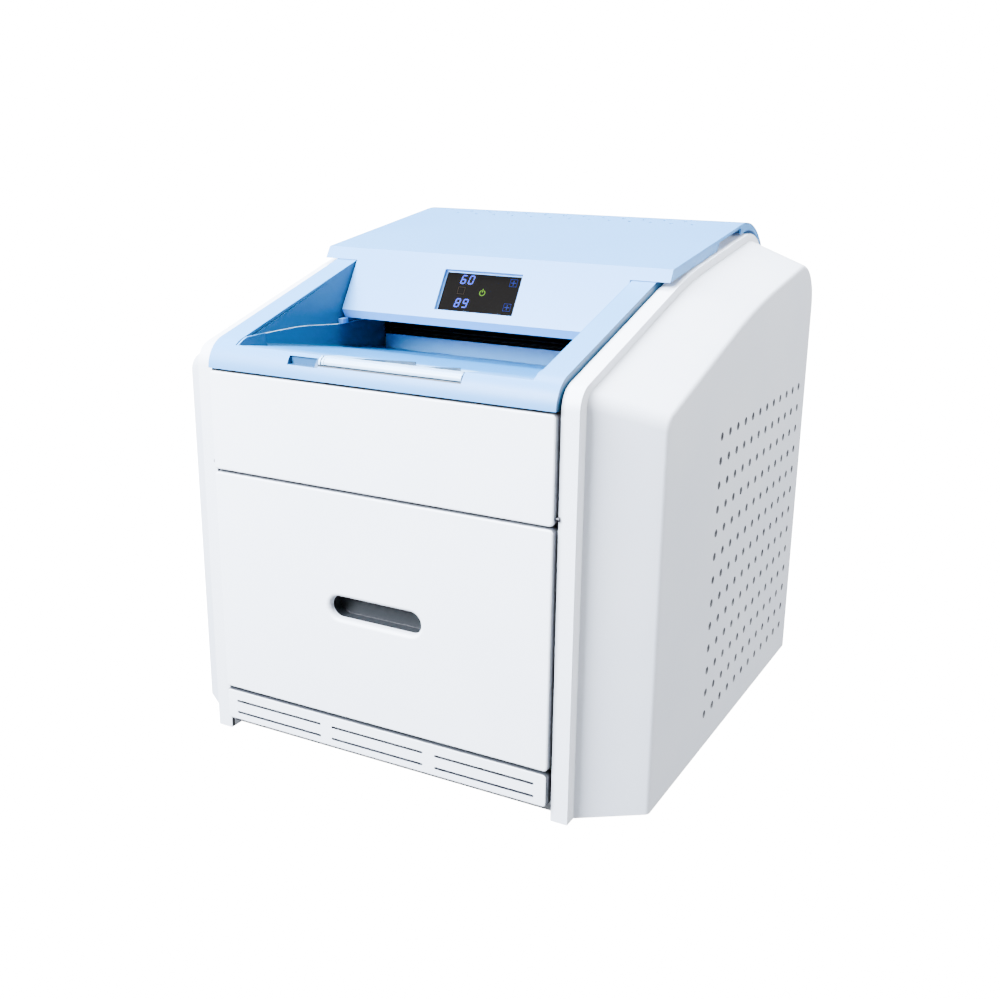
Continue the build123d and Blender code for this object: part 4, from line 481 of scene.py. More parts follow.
# Front panels: the film drawer's front, the access door above it and the air grille below, all moulded skins
# with a rim behind. White ABS with a smoother grain; the drawer carries a dark handle cup clipped in. Painted
# shade greys the joints around them, and the grille's whole inside, which shows through its slots.
panel_painted_shade = {"drawer_front": (1.6, 1.9, "#6E7178"), "front_access_door": (1.6, 1.9, "#6E7178"),
              "lower_grille": (0.5, 60.0, "#303338")}
for name, (joint_depth, joint_seen, dust) in panel_painted_shade.items():
    panel_white = moulded_plastic(f"smooth_white_abs_{name}", "#F2F7FF", "#EDF3FC", 0.40, drawn_grain,
                                  0.03 * mm)
    shader, place = shader_of(panel_white)
    low, high = (np.array(corner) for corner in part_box(name))
    skin = (low[1] + joint_depth * mm) * np.array((0, 1, 0))
    inset = joint_seen * mm * np.array((1, 0, 1))
    behind = inside_box(place, skin - (1, 0, 1), skin + (1, 1, 1))
    inner = inside_box(place, low + inset, high - inset)
    # The rims behind the front, outside the inner field, take the painted shade's grey.
    laid_over(shader, maths("SUBTRACT", behind, inner, use_clamp=True), dust)
    ease_edges([name], panel_white, 0.5 * mm)
cup_grey = moulded_plastic("grained_dark_grey_abs", "#171B1F", "#14181B", 0.52, drawn_grain, 0.06 * mm)
ease_edges(["handle_cup"], cup_grey, 0.5 * mm)

# Tray frame: the two sloping rails and the rounded lip, one pale-blue ABS moulding. Its inner walls and the
# floor behind the lip are painted the deeper blue of the tray, as painted shade.
pale_blue = ("#4C8DCA", "#4889C7")
deep_blue = ("#003F60", "#003B5B")
floor_blue = ("#1573B4", "#136FB0")
slate_blue = "#1E4F78"
bore_blue = "#041A28"
underside_blue = "#20364E"
tray_half = 185.5
lip_crest = 13.0
floor_fall = radians(9.0)
floor_crest = 475.2
fade_from, fade_to, fade_strength = 8.0, 45.0, 0.9
stopper_back, stopper_up, stopper_bore = 10.5, 468.3, 6.3
stopper_ends = (-68.4 * mm, 107.4 * mm)
recess_backs = ((10.0 - axis_back) * mm, (47.0 - axis_back) * mm)
plate_seat = 1.5
pocket_corners = ((-108.1, -5.0, 462.9), (-67.6, 12.1, 472.1))
opening_corners = ((-68.4, -5.0, 466.9), (107.4, 10.6, 468.7))
wall_slack, bore_slack = 0.9, 1.2
faces_across, faces_down = 0.6, -0.7
frame_gloss = 0.3


def frame_plastic():
    """Pale-blue plastic, pale on top, with painted shade. The floor's blue fades in behind the lip's crest,
    inside the tray's half width, as painted shade. Surfaces that face across the machine, and the stopper's
    opening, are the deep blue of painted shade. The pocket is slate blue, painted shade in its recess. The
    bore, where points are nearer to the stopper's axis than its radius and a little slack, is painted nearly
    black as shade, and the plate's recess, below the sloping floor, is painted the floor's blue as shade.
    What faces down is
    painted darker: painted shade."""
    made = moulded_plastic("pale_blue_abs_painted_shade", *pale_blue, 0.42, drawn_grain, 0.05 * mm)
    shader, place = shader_of(made)
    tree = place.id_data
    across, back, _ = axes_of(place)
    facing_across, _, facing_up = axes_of(place.node.outputs["Normal"])
    inside = maths("LESS_THAN", maths("ABSOLUTE", across), (tray_half + wall_slack) * mm)
    pale_until, deep_from = ((lip_crest + reach - axis_back) * mm for reach in (fade_from, fade_to))
    fading = mapped(back, pale_until, deep_from, 0.0, fade_strength, interpolation_type="SMOOTHSTEP")
    laid_over(shader, maths("MULTIPLY", inside, fading), floor_blue[0])
    laid_over(shader, maths("GREATER_THAN", maths("ABSOLUTE", facing_across), faces_across), deep_blue[0])
    for corners, colour in ((pocket_corners, slate_blue), (opening_corners, deep_blue[0])):
        laid_over(shader, inside_box(place, *(in_frame(1, *corner) for corner in corners)), colour)
    bar_place = in_frame(1, 0, stopper_back, stopper_up)
    around = add_node(tree, "ShaderNodeVectorMath", {0: place, 1: (0, *-bar_place[1:])}, operation="ADD")
    flat = add_node(tree, "ShaderNodeVectorMath", {0: around.outputs[0], 1: (0, 1, 1)}, operation="MULTIPLY")
    reach = add_node(tree, "ShaderNodeVectorMath", {0: flat.outputs[0]}, operation="LENGTH")
    bored = maths("LESS_THAN", reach.outputs["Value"], (stopper_bore + bore_slack) * mm)
    span = inside_box(place, (stopper_ends[0], -1, -1), (stopper_ends[1], 1, 1))
    laid_over(shader, maths("MULTIPLY", bored, span), bore_blue)
    square_to_floor = (0, sin(floor_fall), cos(floor_fall))
    height = add_node(tree, "ShaderNodeVectorMath", {0: place, 1: square_to_floor}, operation="DOT_PRODUCT")
    crest = in_frame(1, 0, lip_crest, floor_crest)
    level = crest[1] * sin(floor_fall) + crest[2] * cos(floor_fall) - plate_seat * mm
    sunk = maths("LESS_THAN", height.outputs["Value"], float(level))
    plate_span = inside_box(place, (stopper_ends[0], recess_backs[0], -1),
                            (stopper_ends[1], recess_backs[1], 1))
    laid_over(shader, maths("MULTIPLY", sunk, plate_span), floor_blue[0])
    laid_over(shader, maths("LESS_THAN", facing_up, faces_down), underside_blue)
    feed(shader, {"Specular IOR Level": frame_gloss})
    return made


ease_edges(["top_frame"], frame_plastic(), 1.2 * mm)

# Output tray: the pan that finished films slide into, painted deep blue as painted shade, and the guide wall
# at its rear. Moulded ABS, 2 mm thick, with rounded corners and a rim that steps down towards the rear; it
# drops in between the rails.
shaded_wall_blue = moulded_plastic("smooth_deep_blue_abs", *deep_blue, 0.36, drawn_grain, 0.03 * mm)
shaded_floor_blue = moulded_plastic("smooth_tray_blue_abs", *floor_blue, 0.36, drawn_grain, 0.03 * mm)
lit_rim_blue = moulded_plastic("pale_rim_painted_light_abs", "#A8CDEC", "#A2C8E9", 0.36, drawn_grain, 0.03 * mm)
tray_gloss = 0.2
for made in (shaded_wall_blue, shaded_floor_blue):
    feed(shader_of(made)[0], {"Specular IOR Level": tray_gloss})
floor_line = (lip_crest, floor_crest, -floor_fall)
pan_front, pan_rear = 63.3, 310.0
pan_inner, pan_wall = 183.0, 2.0
pan_fillet = 4.0
guide_rise = 19.0
rim_backs, rim_ups = (63.3, 131.0, 212.0, 312.0), (482.0, 481.0, 472.5, 472.5)
rim_softening = 22
pan_stations, softening_steps, wall_steps, floor_steps = 80, 23, 8, 25

# The pan is one section carried from front to rear: straight down the wall, a quarter circle into the floor,
# across, and the same up the other side. The floor falls along a line. The rim follows straight stretches
# whose corners are softened by taking the mean height over 22 mm either way.
stations = np.linspace(pan_front, pan_rear, pan_stations)
spread = np.linspace(-rim_softening, rim_softening, softening_steps)
rim = np.interp(stations[:, None] + spread, rim_backs, rim_ups).mean(axis=1)
floor_up = height_at(floor_line, stations)
wall_share = np.linspace(1, 0, wall_steps)
corner_turn = np.linspace(0, pi / 2, wall_steps)[1:]
floor_share = np.linspace(-1, 1, floor_steps)[1:-1]
wall_up = (floor_up + pan_fillet)[:, None] + wall_share * (rim - floor_up - pan_fillet)[:, None]
bend_up = floor_up[:, None] + pan_fillet * (1 - np.sin(corner_turn))
half_up = np.concatenate([wall_up, bend_up], axis=1)
bend_across = pan_inner - pan_fillet * (1 - np.cos(corner_turn))
half_across = np.concatenate([np.full(wall_steps, pan_inner), bend_across])
across = np.concatenate([-half_across, floor_share * (pan_inner - pan_fillet), half_across[::-1]])
flat_up = np.repeat(floor_up[:, None], len(floor_share), axis=1)
up = np.concatenate([half_up, flat_up, half_up[:, ::-1]], axis=1)
pan_points = in_frame(1, across[None, :], stations[:, None], up).reshape(-1, 3)
grid = np.arange(len(pan_points)).reshape(len(stations), len(across))
pan_faces = np.stack([grid[:-1, :-1], grid[:-1, 1:], grid[1:, 1:], grid[1:, :-1]], axis=-1).reshape(-1, 4)
film_tray = new_piece("film_tray", pan_points, pan_faces)
modify(film_tray, "wall", "SOLIDIFY", thickness=pan_wall * mm, offset=-1)
modify(film_tray, "rim_edges", "BEVEL", width=0.6 * mm, segments=3, angle_limit=radians(50))
# The walls take the deep blue and the floor the mid blue: painted shade on one blue plastic.
film_tray.data.materials.append(shaded_wall_blue)
film_tray.data.materials.append(shaded_floor_blue)
on_floor = np.abs(across[:-1] + across[1:]) / 2 < pan_inner - pan_fillet / 2
film_tray.data.polygons.foreach_set("material_index", np.tile(on_floor, len(stations) - 1).astype(int))
settle(film_tray)

# The rim is painted pale as painted light on its lit tops: faces of the finished pan that look up and lie
# well above its floor.
faces_up = 0.3
rim_height = 1.5 * pan_fillet
film_tray.data.materials.append(lit_rim_blue)
polygons = film_tray.data.polygons
normals, centres = np.empty(len(polygons) * 3), np.empty(len(polygons) * 3)
polygons.foreach_get("normal", normals)
polygons.foreach_get("center", centres)
centres = centres.reshape(-1, 3)
above = centres[:, 2] / mm - foot_gap - height_at(floor_line, centres[:, 1] / mm + axis_back)
kinds = np.empty(len(polygons), int)
polygons.foreach_get("material_index", kinds)
on_rim = (normals[2::3] > faces_up) & (above > rim_height)
polygons.foreach_set("material_index", np.where(on_rim, 2, kinds))
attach(film_tray, "root")
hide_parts("tray_pan")


def straight_strip(name, back_up, half_across, made, body):
    """A closed outline (back, up) carried straight across the machine, with its two ends capped."""
    outline = np.array(back_up, float)
    count = len(outline)
    sides = np.array([-half_across, half_across])[:, None]
    points = in_frame(1, sides, outline[None, :, 0], outline[None, :, 1]).reshape(-1, 3)
    ring = np.arange(count)
    quads = np.stack([ring, np.roll(ring, -1), np.roll(ring, -1) + count, ring + count], axis=1).tolist()
    piece = new_piece(name, points, [*quads, ring[::-1].tolist(), (ring + count).tolist()], smooth=False)
    modify(piece, "edges", "BEVEL", width=0.5 * mm, segments=2, angle_limit=radians(40))
    modify(piece, "even_shading", "WEIGHTED_NORMAL")
    piece.data.materials.append(made)
    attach(piece, body)


guide_foot = height_at(floor_line, pan_rear)
guide = [(pan_rear, guide_foot - pan_wall), (pan_rear + pan_wall, guide_foot - pan_wall),
         (pan_rear + pan_wall, guide_foot + guide_rise), (pan_rear, guide_foot + guide_rise)]
guide_blue = moulded_plastic("smooth_guide_blue_abs", "#4C9BD6", "#4896D2", 0.36, drawn_grain, 0.03 * mm)
straight_strip("guide_wall", guide, pan_inner - seat, guide_blue, "root")

# Exit guide: two steel sheets, one above the other, that lead each film from the exit rollers over the guide
# wall. They are flocked black, so that no stray light runs back along the slot.
flock_gloss = 0.1
flocked_black = moulded_plastic("flocked_black_sheet", "#050708", "#040506", 0.9, drawn_grain, 0.06 * mm)
feed(shader_of(flocked_black)[0], {"Specular IOR Level": flock_gloss})
ease_edges(["exit_guide"], flocked_black, 0)

# Film stopper and lid rests: small pale-blue ABS mouldings. The stopper is a round bar with a collar groove
# and a hinged plate, and it swings up in the lip to catch the films. The rests are two bumpers that the
# console comes down on. The collar groove, the plate's cut edges and the underside of the bar are painted
# darker blue as painted shade.
pale_abs = moulded_plastic("grained_pale_blue_abs", *pale_blue, 0.42, drawn_grain, 0.05 * mm)
stopper_abs = moulded_plastic("smooth_ice_blue_abs", "#A9CDEE", "#A4C9EC", 0.34, drawn_grain, 0.03 * mm)
shader, place = shader_of(stopper_abs)
# Painted shade: the groove, the plate's upright cut edges and the bar's underside are darker blue.
groove_span, groove_reach = (-65.1, -63.5), 9.0
groove = [in_frame(1, across, stopper_back + reach, stopper_up + reach)
          for across, reach in zip(groove_span, (-groove_reach, groove_reach))]
laid_over(shader, inside_box(place, *groove), deep_blue[0])
facing_up = axes_of(place.node.outputs["Normal"])[2]
upright = maths("LESS_THAN", maths("ABSOLUTE", facing_up), faces_across)
bar_reach = 7.0
plate_from = (stopper_back + bar_reach - axis_back) * mm
plate = inside_box(place, (-1, plate_from, -1), (1, 0, 1))
laid_over(shader, plate, "#86B9E3")
laid_over(shader, maths("MULTIPLY", upright, plate), floor_blue[0])
bar_shade_from = -0.25
below = maths("LESS_THAN", facing_up, bar_shade_from)
laid_over(shader, maths("SUBTRACT", below, plate, use_clamp=True), "#0A2A40")
ease_edges(["film_stopper"], stopper_abs, 0.35 * mm)
ease_edges(["lid_rests"], pale_abs, 0.3 * mm)


# The ribs' near-black teal is painted shade: dark wedges that stand for the shaded gaps between the plate's
# arms.
rib_thick, rib_seat = 1.4, 0.15
rib_shade_teal = moulded_plastic("dark_teal_painted_shade_abs", "#002C44", "#00283F", 0.36, drawn_grain, 0.03 * mm)


def stopper_rib(name, left, right, back, rise):
    """One rib of the stopper's plate: an upright wedge whose height grows evenly from nothing at the left to
    the rise at the right."""
    foot = height_at(floor_line, back) - rib_seat
    corners = np.array([(left, foot), (right, foot), (right, foot + rise)])
    backs = np.array([back, back + rib_thick])[:, None]
    points = in_frame(1, corners[None, :, 0], backs, corners[None, :, 1]).reshape(-1, 3)
    points[:, 0] = np.tile(corners[:, 0], 2) * mm
    faces = [(0, 1, 2), (5, 4, 3), (0, 3, 4, 1), (1, 4, 5, 2), (2, 5, 3, 0)]
    rib = new_piece(name, points, faces, smooth=False)
    rib.data.materials.append(rib_shade_teal)
    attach(rib, "stopper")


stopper_rib("stopper_rib_left", -38.0, 44.0, 21.0, 4.2)
stopper_rib("stopper_rib_right", 54.0, 98.0, 19.0, 3.4)

# Top cover: one large pale-blue ABS moulding that hinges at the rear. Its front drops as the console with the
# display; two rows of vents are pierced near the rear bend.
ease_edges(["top_cover"], pale_abs, 1.4 * mm)

# Display: a smoked acrylic window, 2 mm thick and laser cut, glued over a circuit board in the console's
# recess. It lets the lit segments through: two counts of films left, a film mark, a power ring and two keys.
window_gloss = 0.03


def smoked_acrylic():
    """Cast acrylic tinted brown-black: smooth, with fine dust and a thin haze on its face. An anti-glare coat
    keeps its reflections weak."""
    made, shader, place = new_material("smoked_acrylic")
    dust = noise(place, 0.9 * mm, 4.0)
    feed(shader, {"Base Color": blend(mapped(dust, 0.5, 0.8, 0.0, 0.25), "#0B0A09", "#121110"),
                  "Roughness": mapped(dust, 0.4, 0.8, 0.03, 0.05), "IOR": 1.49,
                  "Specular IOR Level": window_gloss})
    return made


ease_edges(["display_window"], smoked_acrylic(), 0.2 * mm)


def lit_segment(name, colour, strength):
    """Light from a lit segment behind the window: its strength drifts by a fifth up and down over 1.5 mm, as
    the film that spreads it lets more or less through."""
    made, shader, place = new_material(name)
    level = mapped(noise(place, 1.5 * mm, 2.0), 0.3, 0.7, 0.8 * strength, 1.2 * strength)
    feed(shader, {"Emission Strength": level, "Emission Color": linear(colour),
                  "Base Color": linear("#0A0A0B"), "Roughness": 0.05, "Specular IOR Level": window_gloss})
    return made


console_slope = radians(58.3)
ridge = (259.0, 561.5)
display_middle = (-2.0, 43.7)
display_sunk = 5.0
glyph_thick = 0.12


def on_display(across, along):
    """Points on the window's face: along runs down the console's slope from the ridge, and the face lies
    below that slope by the sunk depth less a stroke's thickness, measured square to the slope."""
    across, along = np.asarray(across, float), np.asarray(along, float)
    face = -display_sunk + glyph_thick
    back = ridge[0] - along * cos(console_slope) - face * sin(console_slope)
    up = ridge[1] - along * sin(console_slope) + face * cos(console_slope)
    return in_frame(1, across, back, up)


def glyph(name, polygons, made):
    """Flat polygons (across, down) in millimetres from the display's middle, set on the window as thin
    strokes."""
    points = np.concatenate([np.array(polygon, float) for polygon in polygons])
    starts = np.cumsum([0] + [len(polygon) for polygon in polygons])
    faces = [list(range(first, last)) for first, last in zip(starts[:-1], starts[1:])]
    placed = on_display(display_middle[0] + points[:, 0], display_middle[1] + points[:, 1])
    piece = new_piece(name, placed, faces, smooth=False)
    modify(piece, "stroke", "SOLIDIFY", thickness=glyph_thick * mm)
    piece.data.materials.append(made)
    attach(piece, "lid")


digit_high, digit_wide, stroke, slant, digit_pitch = 10.2, 5.6, 1.2, 0.16, 10.4
segment_gap = 0.15
lit_parts = {"6": "acdefg", "0": "abcdef", "8": "abcdefg", "9": "abcdfg"}


def seven_segment(figure, across, down):
    """Seven-segment figure: each lit part is a six-sided bar, flat or upright, and the figure leans to the
    right by the slant times its height."""
    half = digit_high / 2
    flat = {"a": -half, "g": 0.0, "d": half}
    upright = {"f": (-1, -1), "b": (1, -1), "e": (-1, 1), "c": (1, 1)}
    polygons = []
    for part in lit_parts[figure]:
        if part in flat:
            length, middle = digit_wide, (0.0, flat[part])
        else:
            side, half_way = upright[part]
            length, middle = half, (side * digit_wide / 2, half_way * half / 2)
        tip = length / 2 - segment_gap
        shoulder = tip - stroke / 2
        bar = np.array([(-tip, 0), (-shoulder, -stroke / 2), (shoulder, -stroke / 2), (tip, 0),
                        (shoulder, stroke / 2), (-shoulder, stroke / 2)])
        bar = (bar if part in flat else bar[:, ::-1]) + middle
        bar[:, 0] -= slant * bar[:, 1]
        polygons.append(bar + (across, down))
    return polygons


def square_outline(across, down, size, line):
    """Four bars around a square, the upper and lower ones over its whole width."""
    half = size / 2
    inner = half - line
    bars = [(-half, -half, half, -inner), (-half, inner, half, half),
            (-half, -inner, -inner, inner), (inner, -inner, half, inner)]
    return [np.array([(left, top), (right, top), (right, low), (left, low)]) + (across, down)
            for left, top, right, low in bars]


first_digit = -26.5
counts = (("60", -14.4), ("89", 16.0))
count_light = lit_segment("violet_blue_segment", "#4A62FF", 3.6)
for row_number, (figures, down) in enumerate(counts, 1):
    for digit_number, figure in enumerate(figures):
        shapes = seven_segment(figure, first_digit + digit_pitch * digit_number, down)
        glyph(f"count_{row_number}_{digit_number + 1}", shapes, count_light)
film_square, film_line = 9.4, 0.5
film_light = lit_segment("dim_amber_segment", "#8A7460", 0.35)
glyph("film_mark", square_outline(-26.0, 0.0, film_square, film_line), film_light)

# The power mark is a ring, open at the top for 60 degrees, and a bar that stands in the gap.
power_middle = (3.0, 1.0)
ring_outer, ring_inner = 3.9, 2.9
ring_from, ring_to, ring_steps = radians(-60), radians(240), 25
bar_half, bar_top, bar_low = 0.5, -5.2, -0.6
turn = np.linspace(ring_from, ring_to, ring_steps)
spokes = np.stack([np.cos(turn), np.sin(turn)], axis=1)
outer, inner = spokes * ring_outer, spokes * ring_inner
ring_pieces = np.stack([outer[:-1], outer[1:], inner[1:], inner[:-1]], axis=1) + power_middle
power_bar = np.array([(-bar_half, bar_top), (bar_half, bar_top), (bar_half, bar_low), (-bar_half, bar_low)])
glyph("power_mark", [*ring_pieces, power_bar + power_middle], lit_segment("green_segment", "#7FC436", 1.5))
key_across, key_downs = 40.5, (-14.6, 16.6)
key_square, key_line = 9.6, 0.45
arm, arm_half = 3.2, 0.5
key_light = lit_segment("dim_blue_segment", "#3C55D8", 0.8)
for key_number, down in enumerate(key_downs, 1):
    middle = np.array((key_across, down))
    flat_arm = [(-arm, -arm_half), (arm, -arm_half), (arm, arm_half), (-arm, arm_half)]
    upper_arm = [(-arm_half, -arm), (arm_half, -arm), (arm_half, -arm_half), (-arm_half, -arm_half)]
    lower_arm = [(-arm_half, arm_half), (arm_half, arm_half), (arm_half, arm), (-arm_half, arm)]
    cross = [np.array(bar) + middle for bar in (flat_arm, upper_arm, lower_arm)]
    glyph(f"key_mark_{key_number}", [*cross, *square_outline(*middle, key_square, key_line)], key_light)

# Chassis: base plate, inner plates, cross members and hood, folded from zinc-plated steel sheet 2 to 2.5 mm
# thick and screwed together. The plating is dull silver with rolling streaks. The slides, the cover's hinge
# arms, the power supply's case and the network socket are brighter rolled steel.


def plated_sheet(name, colour, shade, roughness):
    """Electroplated sheet: streaks 0.7 mm wide, drawn out 25 times along Y, the rolling direction, and a
    cloudy drift 60 mm wide that changes its gloss, as handled zinc does. Real streaks are finer; these are
    drawn as coarse as they need to be to show."""
    made, shader, place = new_material(name)
    drawn_out = add_node(place.id_data, "ShaderNodeMapping", {"Vector": place, "Scale": (1.0, 0.04, 1.0)})
    streaks = noise(drawn_out.outputs[0], 0.7 * mm, 3.0)
    both = maths("ADD", streaks, noise(place, 60 * mm, 4.0))
    feed(shader, {"Base Color": blend(mapped(both, 0.7, 1.3), shade, colour),
                  "Roughness": mapped(both, 0.7, 1.3, roughness + 0.1, roughness - 0.06),
                  "Normal": bumps(streaks, 0.3, 0.02 * mm), "Metallic": 1.0})
    return made


zinc_sheet = plated_sheet("zinc_plated_sheet", "#C9CDD0", "#AEB3B8", 0.38)
ease_edges(["base_plate", "inner_plates", "cross_members", "drum_hood"], zinc_sheet, 0)
slide_steel = plated_sheet("rolled_slide_steel", "#D2D5D7", "#B9BDC0", 0.26)
ease_edges(["slide_outer_members", "slide_middle_members", "slide_inner_members", "lid_hinge_arms",
            "power_supply", "network_socket"], slide_steel, 0)

# Rear cover: a steel sheet 1.5 mm thick, powder coated pale grey and screwed on down both sides. The coat has
# the fine orange peel of baked powder and takes a slight sheen.


def powder_coat(name, colour, shade, roughness, peel):
    """Baked powder coating: a soft orange peel of the given width in metres, and specks a third as wide."""
    made, shader, place = new_material(name)
    waves, fine = noise(place, peel, 1.0), noise(place, peel / 3, 2.0)
    feed(shader, {"Base Color": blend(mapped(fine, 0.35, 0.65), shade, colour),
                  "Roughness": mapped(waves, 0.3, 0.7, roughness + 0.05, roughness - 0.05),
                  "Normal": bumps(waves, 0.5, 0.08 * mm), "IOR": 1.5})
    return made


grey_powder = powder_coat("pale_grey_powder_coat", "#D3D6DA", "#CBCFD3", 0.45, 2.0 * mm)
ease_edges(["rear_cover"], grey_powder, 0)

# Optical unit and door magnets: die-cast housings with a baked dark grey paint, bolted to the shelf, and the
# magnets in painted holders behind the access door.
casting_paint = powder_coat("dark_grey_casting_paint", "#4A4E52", "#43474B", 0.5, 1.6 * mm)
ease_edges(["optic_housing", "optic_cover", "laser_module", "door_magnets"], casting_paint, 0)

# Screws, pins and small turned parts: cold-headed or turned steel, nickel plated, or black oxide on the hinge
# pins, which sit in the dark joints. The bushes are sintered bronze and the spinning mirror is diamond-cut
# aluminium. Turning leaves fine rings, so the highlights break up a little.
wave_period = 0.314


def turned_metal(name, colour, shade, roughness, ring):
    """Turned metal: rings the given distance apart in metres, round the machine's origin, bent by noise. A
    wave texture of scale 1 repeats every 0.314, a twentieth of a full turn in radians, so the scale is that
    period divided by the distance."""
    made, shader, place = new_material(name)
    inputs = {"Vector": place, "Scale": wave_period / ring, "Distortion": 2.0, "Detail": 2.0}
    rings = add_node(place.id_data, "ShaderNodeTexWave", inputs, wave_type="RINGS",
                     rings_direction="SPHERICAL")
    patches = noise(place, 4 * mm, 3.0)
    feed(shader, {"Base Color": blend(patches, shade, colour),
                  "Roughness": mapped(patches, 0.3, 0.7, roughness + 0.08, roughness - 0.05),
                  "Normal": bumps(rings.outputs["Fac"], 0.2, 0.01 * mm), "Metallic": 1.0})
    return made


nickel_steel = turned_metal("nickel_plated_steel", "#C8C6C1", "#AFADA8", 0.28, 0.3 * mm)
ease_edges(["cover_screws", "fan_guard"], nickel_steel, 0.1 * mm)
black_pin = turned_metal("black_oxide_steel", "#4A4B4D", "#3A3B3D", 0.4, 0.3 * mm)
ease_edges(["hinge_pins"], black_pin, 0.1 * mm)
ease_edges(["motor_pulley", "pick_up_arm"], nickel_steel, 0)
bronze = turned_metal("sintered_bronze", "#B58A4E", "#8E6A3A", 0.42, 0.4 * mm)
ease_edges(["shaft_bushes"], bronze, 0)
mirror_facets = turned_metal("diamond_cut_aluminium", "#E6E8EA", "#DADCDE", 0.08, 0.2 * mm)
ease_edges(["polygon_mirror"], mirror_facets, 0)

# Film rollers and heat drum: rubber sleeves ground smooth on steel journals. The drum's sleeve is black
# silicone; the press rollers' is a softer grey one. The ends that stick out are bare steel.
sleeve_half = 186.0
sleeve_end_slack = 0.05
grinding_pitch = 0.5 * mm


def sleeved_roller(name, colour, shade, sleeve):
    """Rubber inside the sleeve's half length, ground with lines 0.5 mm apart round it, and bare metal beyond,
    where the distance from the machine's middle is more than that half length."""
    made, shader, place = new_material(name)
    bare = maths("GREATER_THAN", maths("ABSOLUTE", axes_of(place)[0]), (sleeve + sleeve_end_slack) * mm)
    inputs = {"Vector": place, "Scale": wave_period / grinding_pitch, "Distortion": 1.5}
    ground = add_node(place.id_data, "ShaderNodeTexWave", inputs, bands_direction="X").outputs["Fac"]
    rubber = blend(noise(place, 8 * mm, 4.0), shade, colour)
    feed(shader, {"Base Color": blend(bare, rubber, "#BDBFC1"), "Metallic": bare,
                  "Roughness": mapped(bare, 0.0, 1.0, 0.72, 0.28), "Normal": bumps(ground, 0.3, 0.02 * mm)})
    return made


black_sleeve = sleeved_roller("ground_black_rubber", "#0A0B0D", "#08090A", sleeve_half)
ease_edges(["scan_roller_front", "scan_roller_rear"], black_sleeve, 0)
ease_edges(["exit_roller_lower", "exit_roller_upper"], black_sleeve, 0)
grey_sleeve = sleeved_roller("ground_grey_silicone", "#6E7276", "#64686C", sleeve_half)
ease_edges(["press_roller_1", "press_roller_2", "press_roller_3"], grey_sleeve, 0)
ease_edges(["heat_drum"], sleeved_roller("ground_black_silicone", "#232527", "#1C1E20", sleeve_half), 0)

# Feet, drive belt and suction cups: moulded rubber, matt, with a paler bloom where it has aged. The feet are
# screwed under the base plate, the belt runs from the motor to the drum, and the cups are red silicone.


def moulded_rubber(name, colour, bloom):
    """Rubber: bloom in patches 12 mm wide over the base colour, and the skin's grain, drawn at 0.8 mm, as
    coarse as it needs to be to show."""
    made, shader, place = new_material(name)
    patches = mapped(noise(place, 12 * mm, 5.0), 0.45, 0.8)
    feed(shader, {"Base Color": blend(patches, colour, bloom), "Roughness": 0.78,
                  "Normal": bumps(noise(place, 0.8 * mm, 1.0), 0.4, 0.05 * mm)})
    return made


ease_edges(["rubber_feet", "drive_belt"], moulded_rubber("moulded_black_rubber", "#17181A", "#2E3033"), 0)
ease_edges(["suction_cups"], moulded_rubber("moulded_red_silicone", "#8E3B32", "#A05048"), 0)

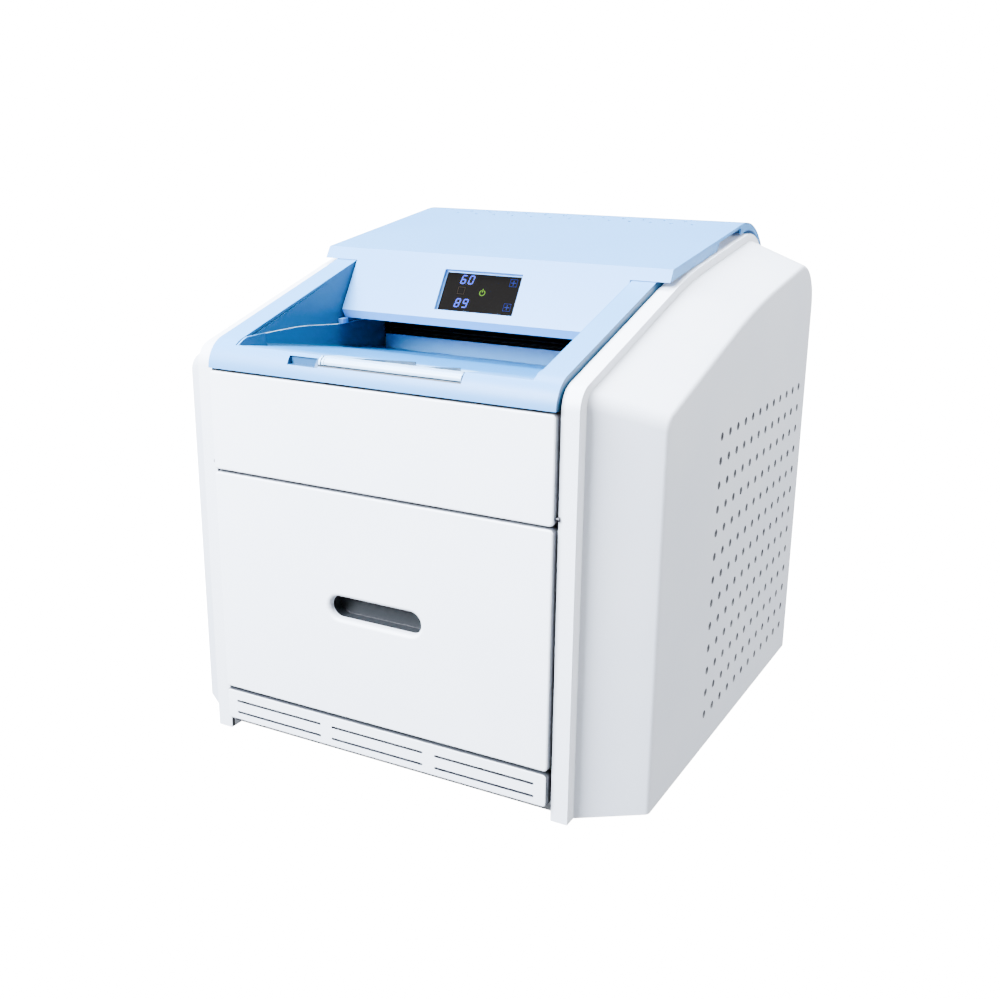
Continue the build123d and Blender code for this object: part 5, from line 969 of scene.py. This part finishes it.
# Film drawer's tray, motors, fan, mains inlet and its rocker: black ABS and polyamide mouldings with a grain
# that hides scratches. The film pack in the tray is wrapped in white card, and the air filter is grey felt.
black_abs = moulded_plastic("grained_black_abs", "#1B1C1E", "#17181A", 0.5, drawn_grain, 0.06 * mm)
ease_edges(["film_tray_box", "drive_motor", "mirror_motor", "fan_frame", "fan_rotor"], black_abs, 0)
ease_edges(["mains_inlet", "power_rocker"], black_abs, 0.3 * mm)
ease_edges(["film_pack"], pressed_fibre("pressed_white_card", "#E4E1DA", "#D6D2C9", 0.6 * mm, 0.03 * mm), 0)
ease_edges(["air_filter"], pressed_fibre("grey_filter_felt", "#5B5F63", "#3F4346", 0.9 * mm, 0.3 * mm), 0)

# Circuit boards: the controller stands on spacers over the base plate and the display's board sits behind the
# window. Glass fibre laminate with green solder mask over copper tracks; chips and sockets stand on it.


def circuit_board(name, top, parts_colour):
    """Green laminate up to the given height in metres, with darker lines between fields of copper about 5 mm
    wide that lie under the mask; everything above that height is the colour of the chips."""
    made, shader, place = new_material(name)
    tracks = add_node(place.id_data, "ShaderNodeTexVoronoi", {"Vector": place, "Scale": 1 / (5 * mm)},
                      feature="DISTANCE_TO_EDGE")
    copper = mapped(tracks.outputs["Distance"], 0.05, 0.08, 1.0, 0.0)
    feed(shader, {"Base Color": blend(copper, "#0E4A2C", "#1F6B42"), "Roughness": 0.35,
                  "Normal": bumps(copper, 0.4, 0.04 * mm)})
    laid_over(shader, inside_box(place, (-1, -1, top), (1, 1, 1)), parts_colour)
    return made


# The controller's green ends 6.1 mm above the feet of its spacers, which are 12 mm high, so its board and its
# chips are both the chips' grey. The display's board is green all over.
green_height = 6.1
green_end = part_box("control_board")[0][2] + green_height * mm
chip_grey = "#1C1D1F"
above_all = 1.0
ease_edges(["control_board"], circuit_board("green_solder_mask", green_end, chip_grey), 0)
ease_edges(["display_board"], circuit_board("dark_display_board", above_all, chip_grey), 0)

# Scan lens: a long ground glass lens that flattens the laser's sweep, with a thin coating. It stands on the
# optical unit's floor, behind the spinning mirror.


def coated_glass():
    """Optical crown glass: clear, and bluer where it is seen at a slant, a painted reflection of its coating,
    with specks of dust about 0.5 mm apart that haze it."""
    made, shader, place = new_material("coated_crown_glass")
    rim = add_node(place.id_data, "ShaderNodeLayerWeight", {"Blend": 0.4}).outputs["Facing"]
    haze = mapped(noise(place, 0.5 * mm, 3.0), 0.4, 0.8, 0.02, 0.12)
    feed(shader, {"Base Color": blend(rim, "#F2F6F8", "#B9CCF0"), "Roughness": haze,
                  "Transmission Weight": 1.0, "IOR": 1.52})
    return made


ease_edges(["scan_lens"], coated_glass(), 0)
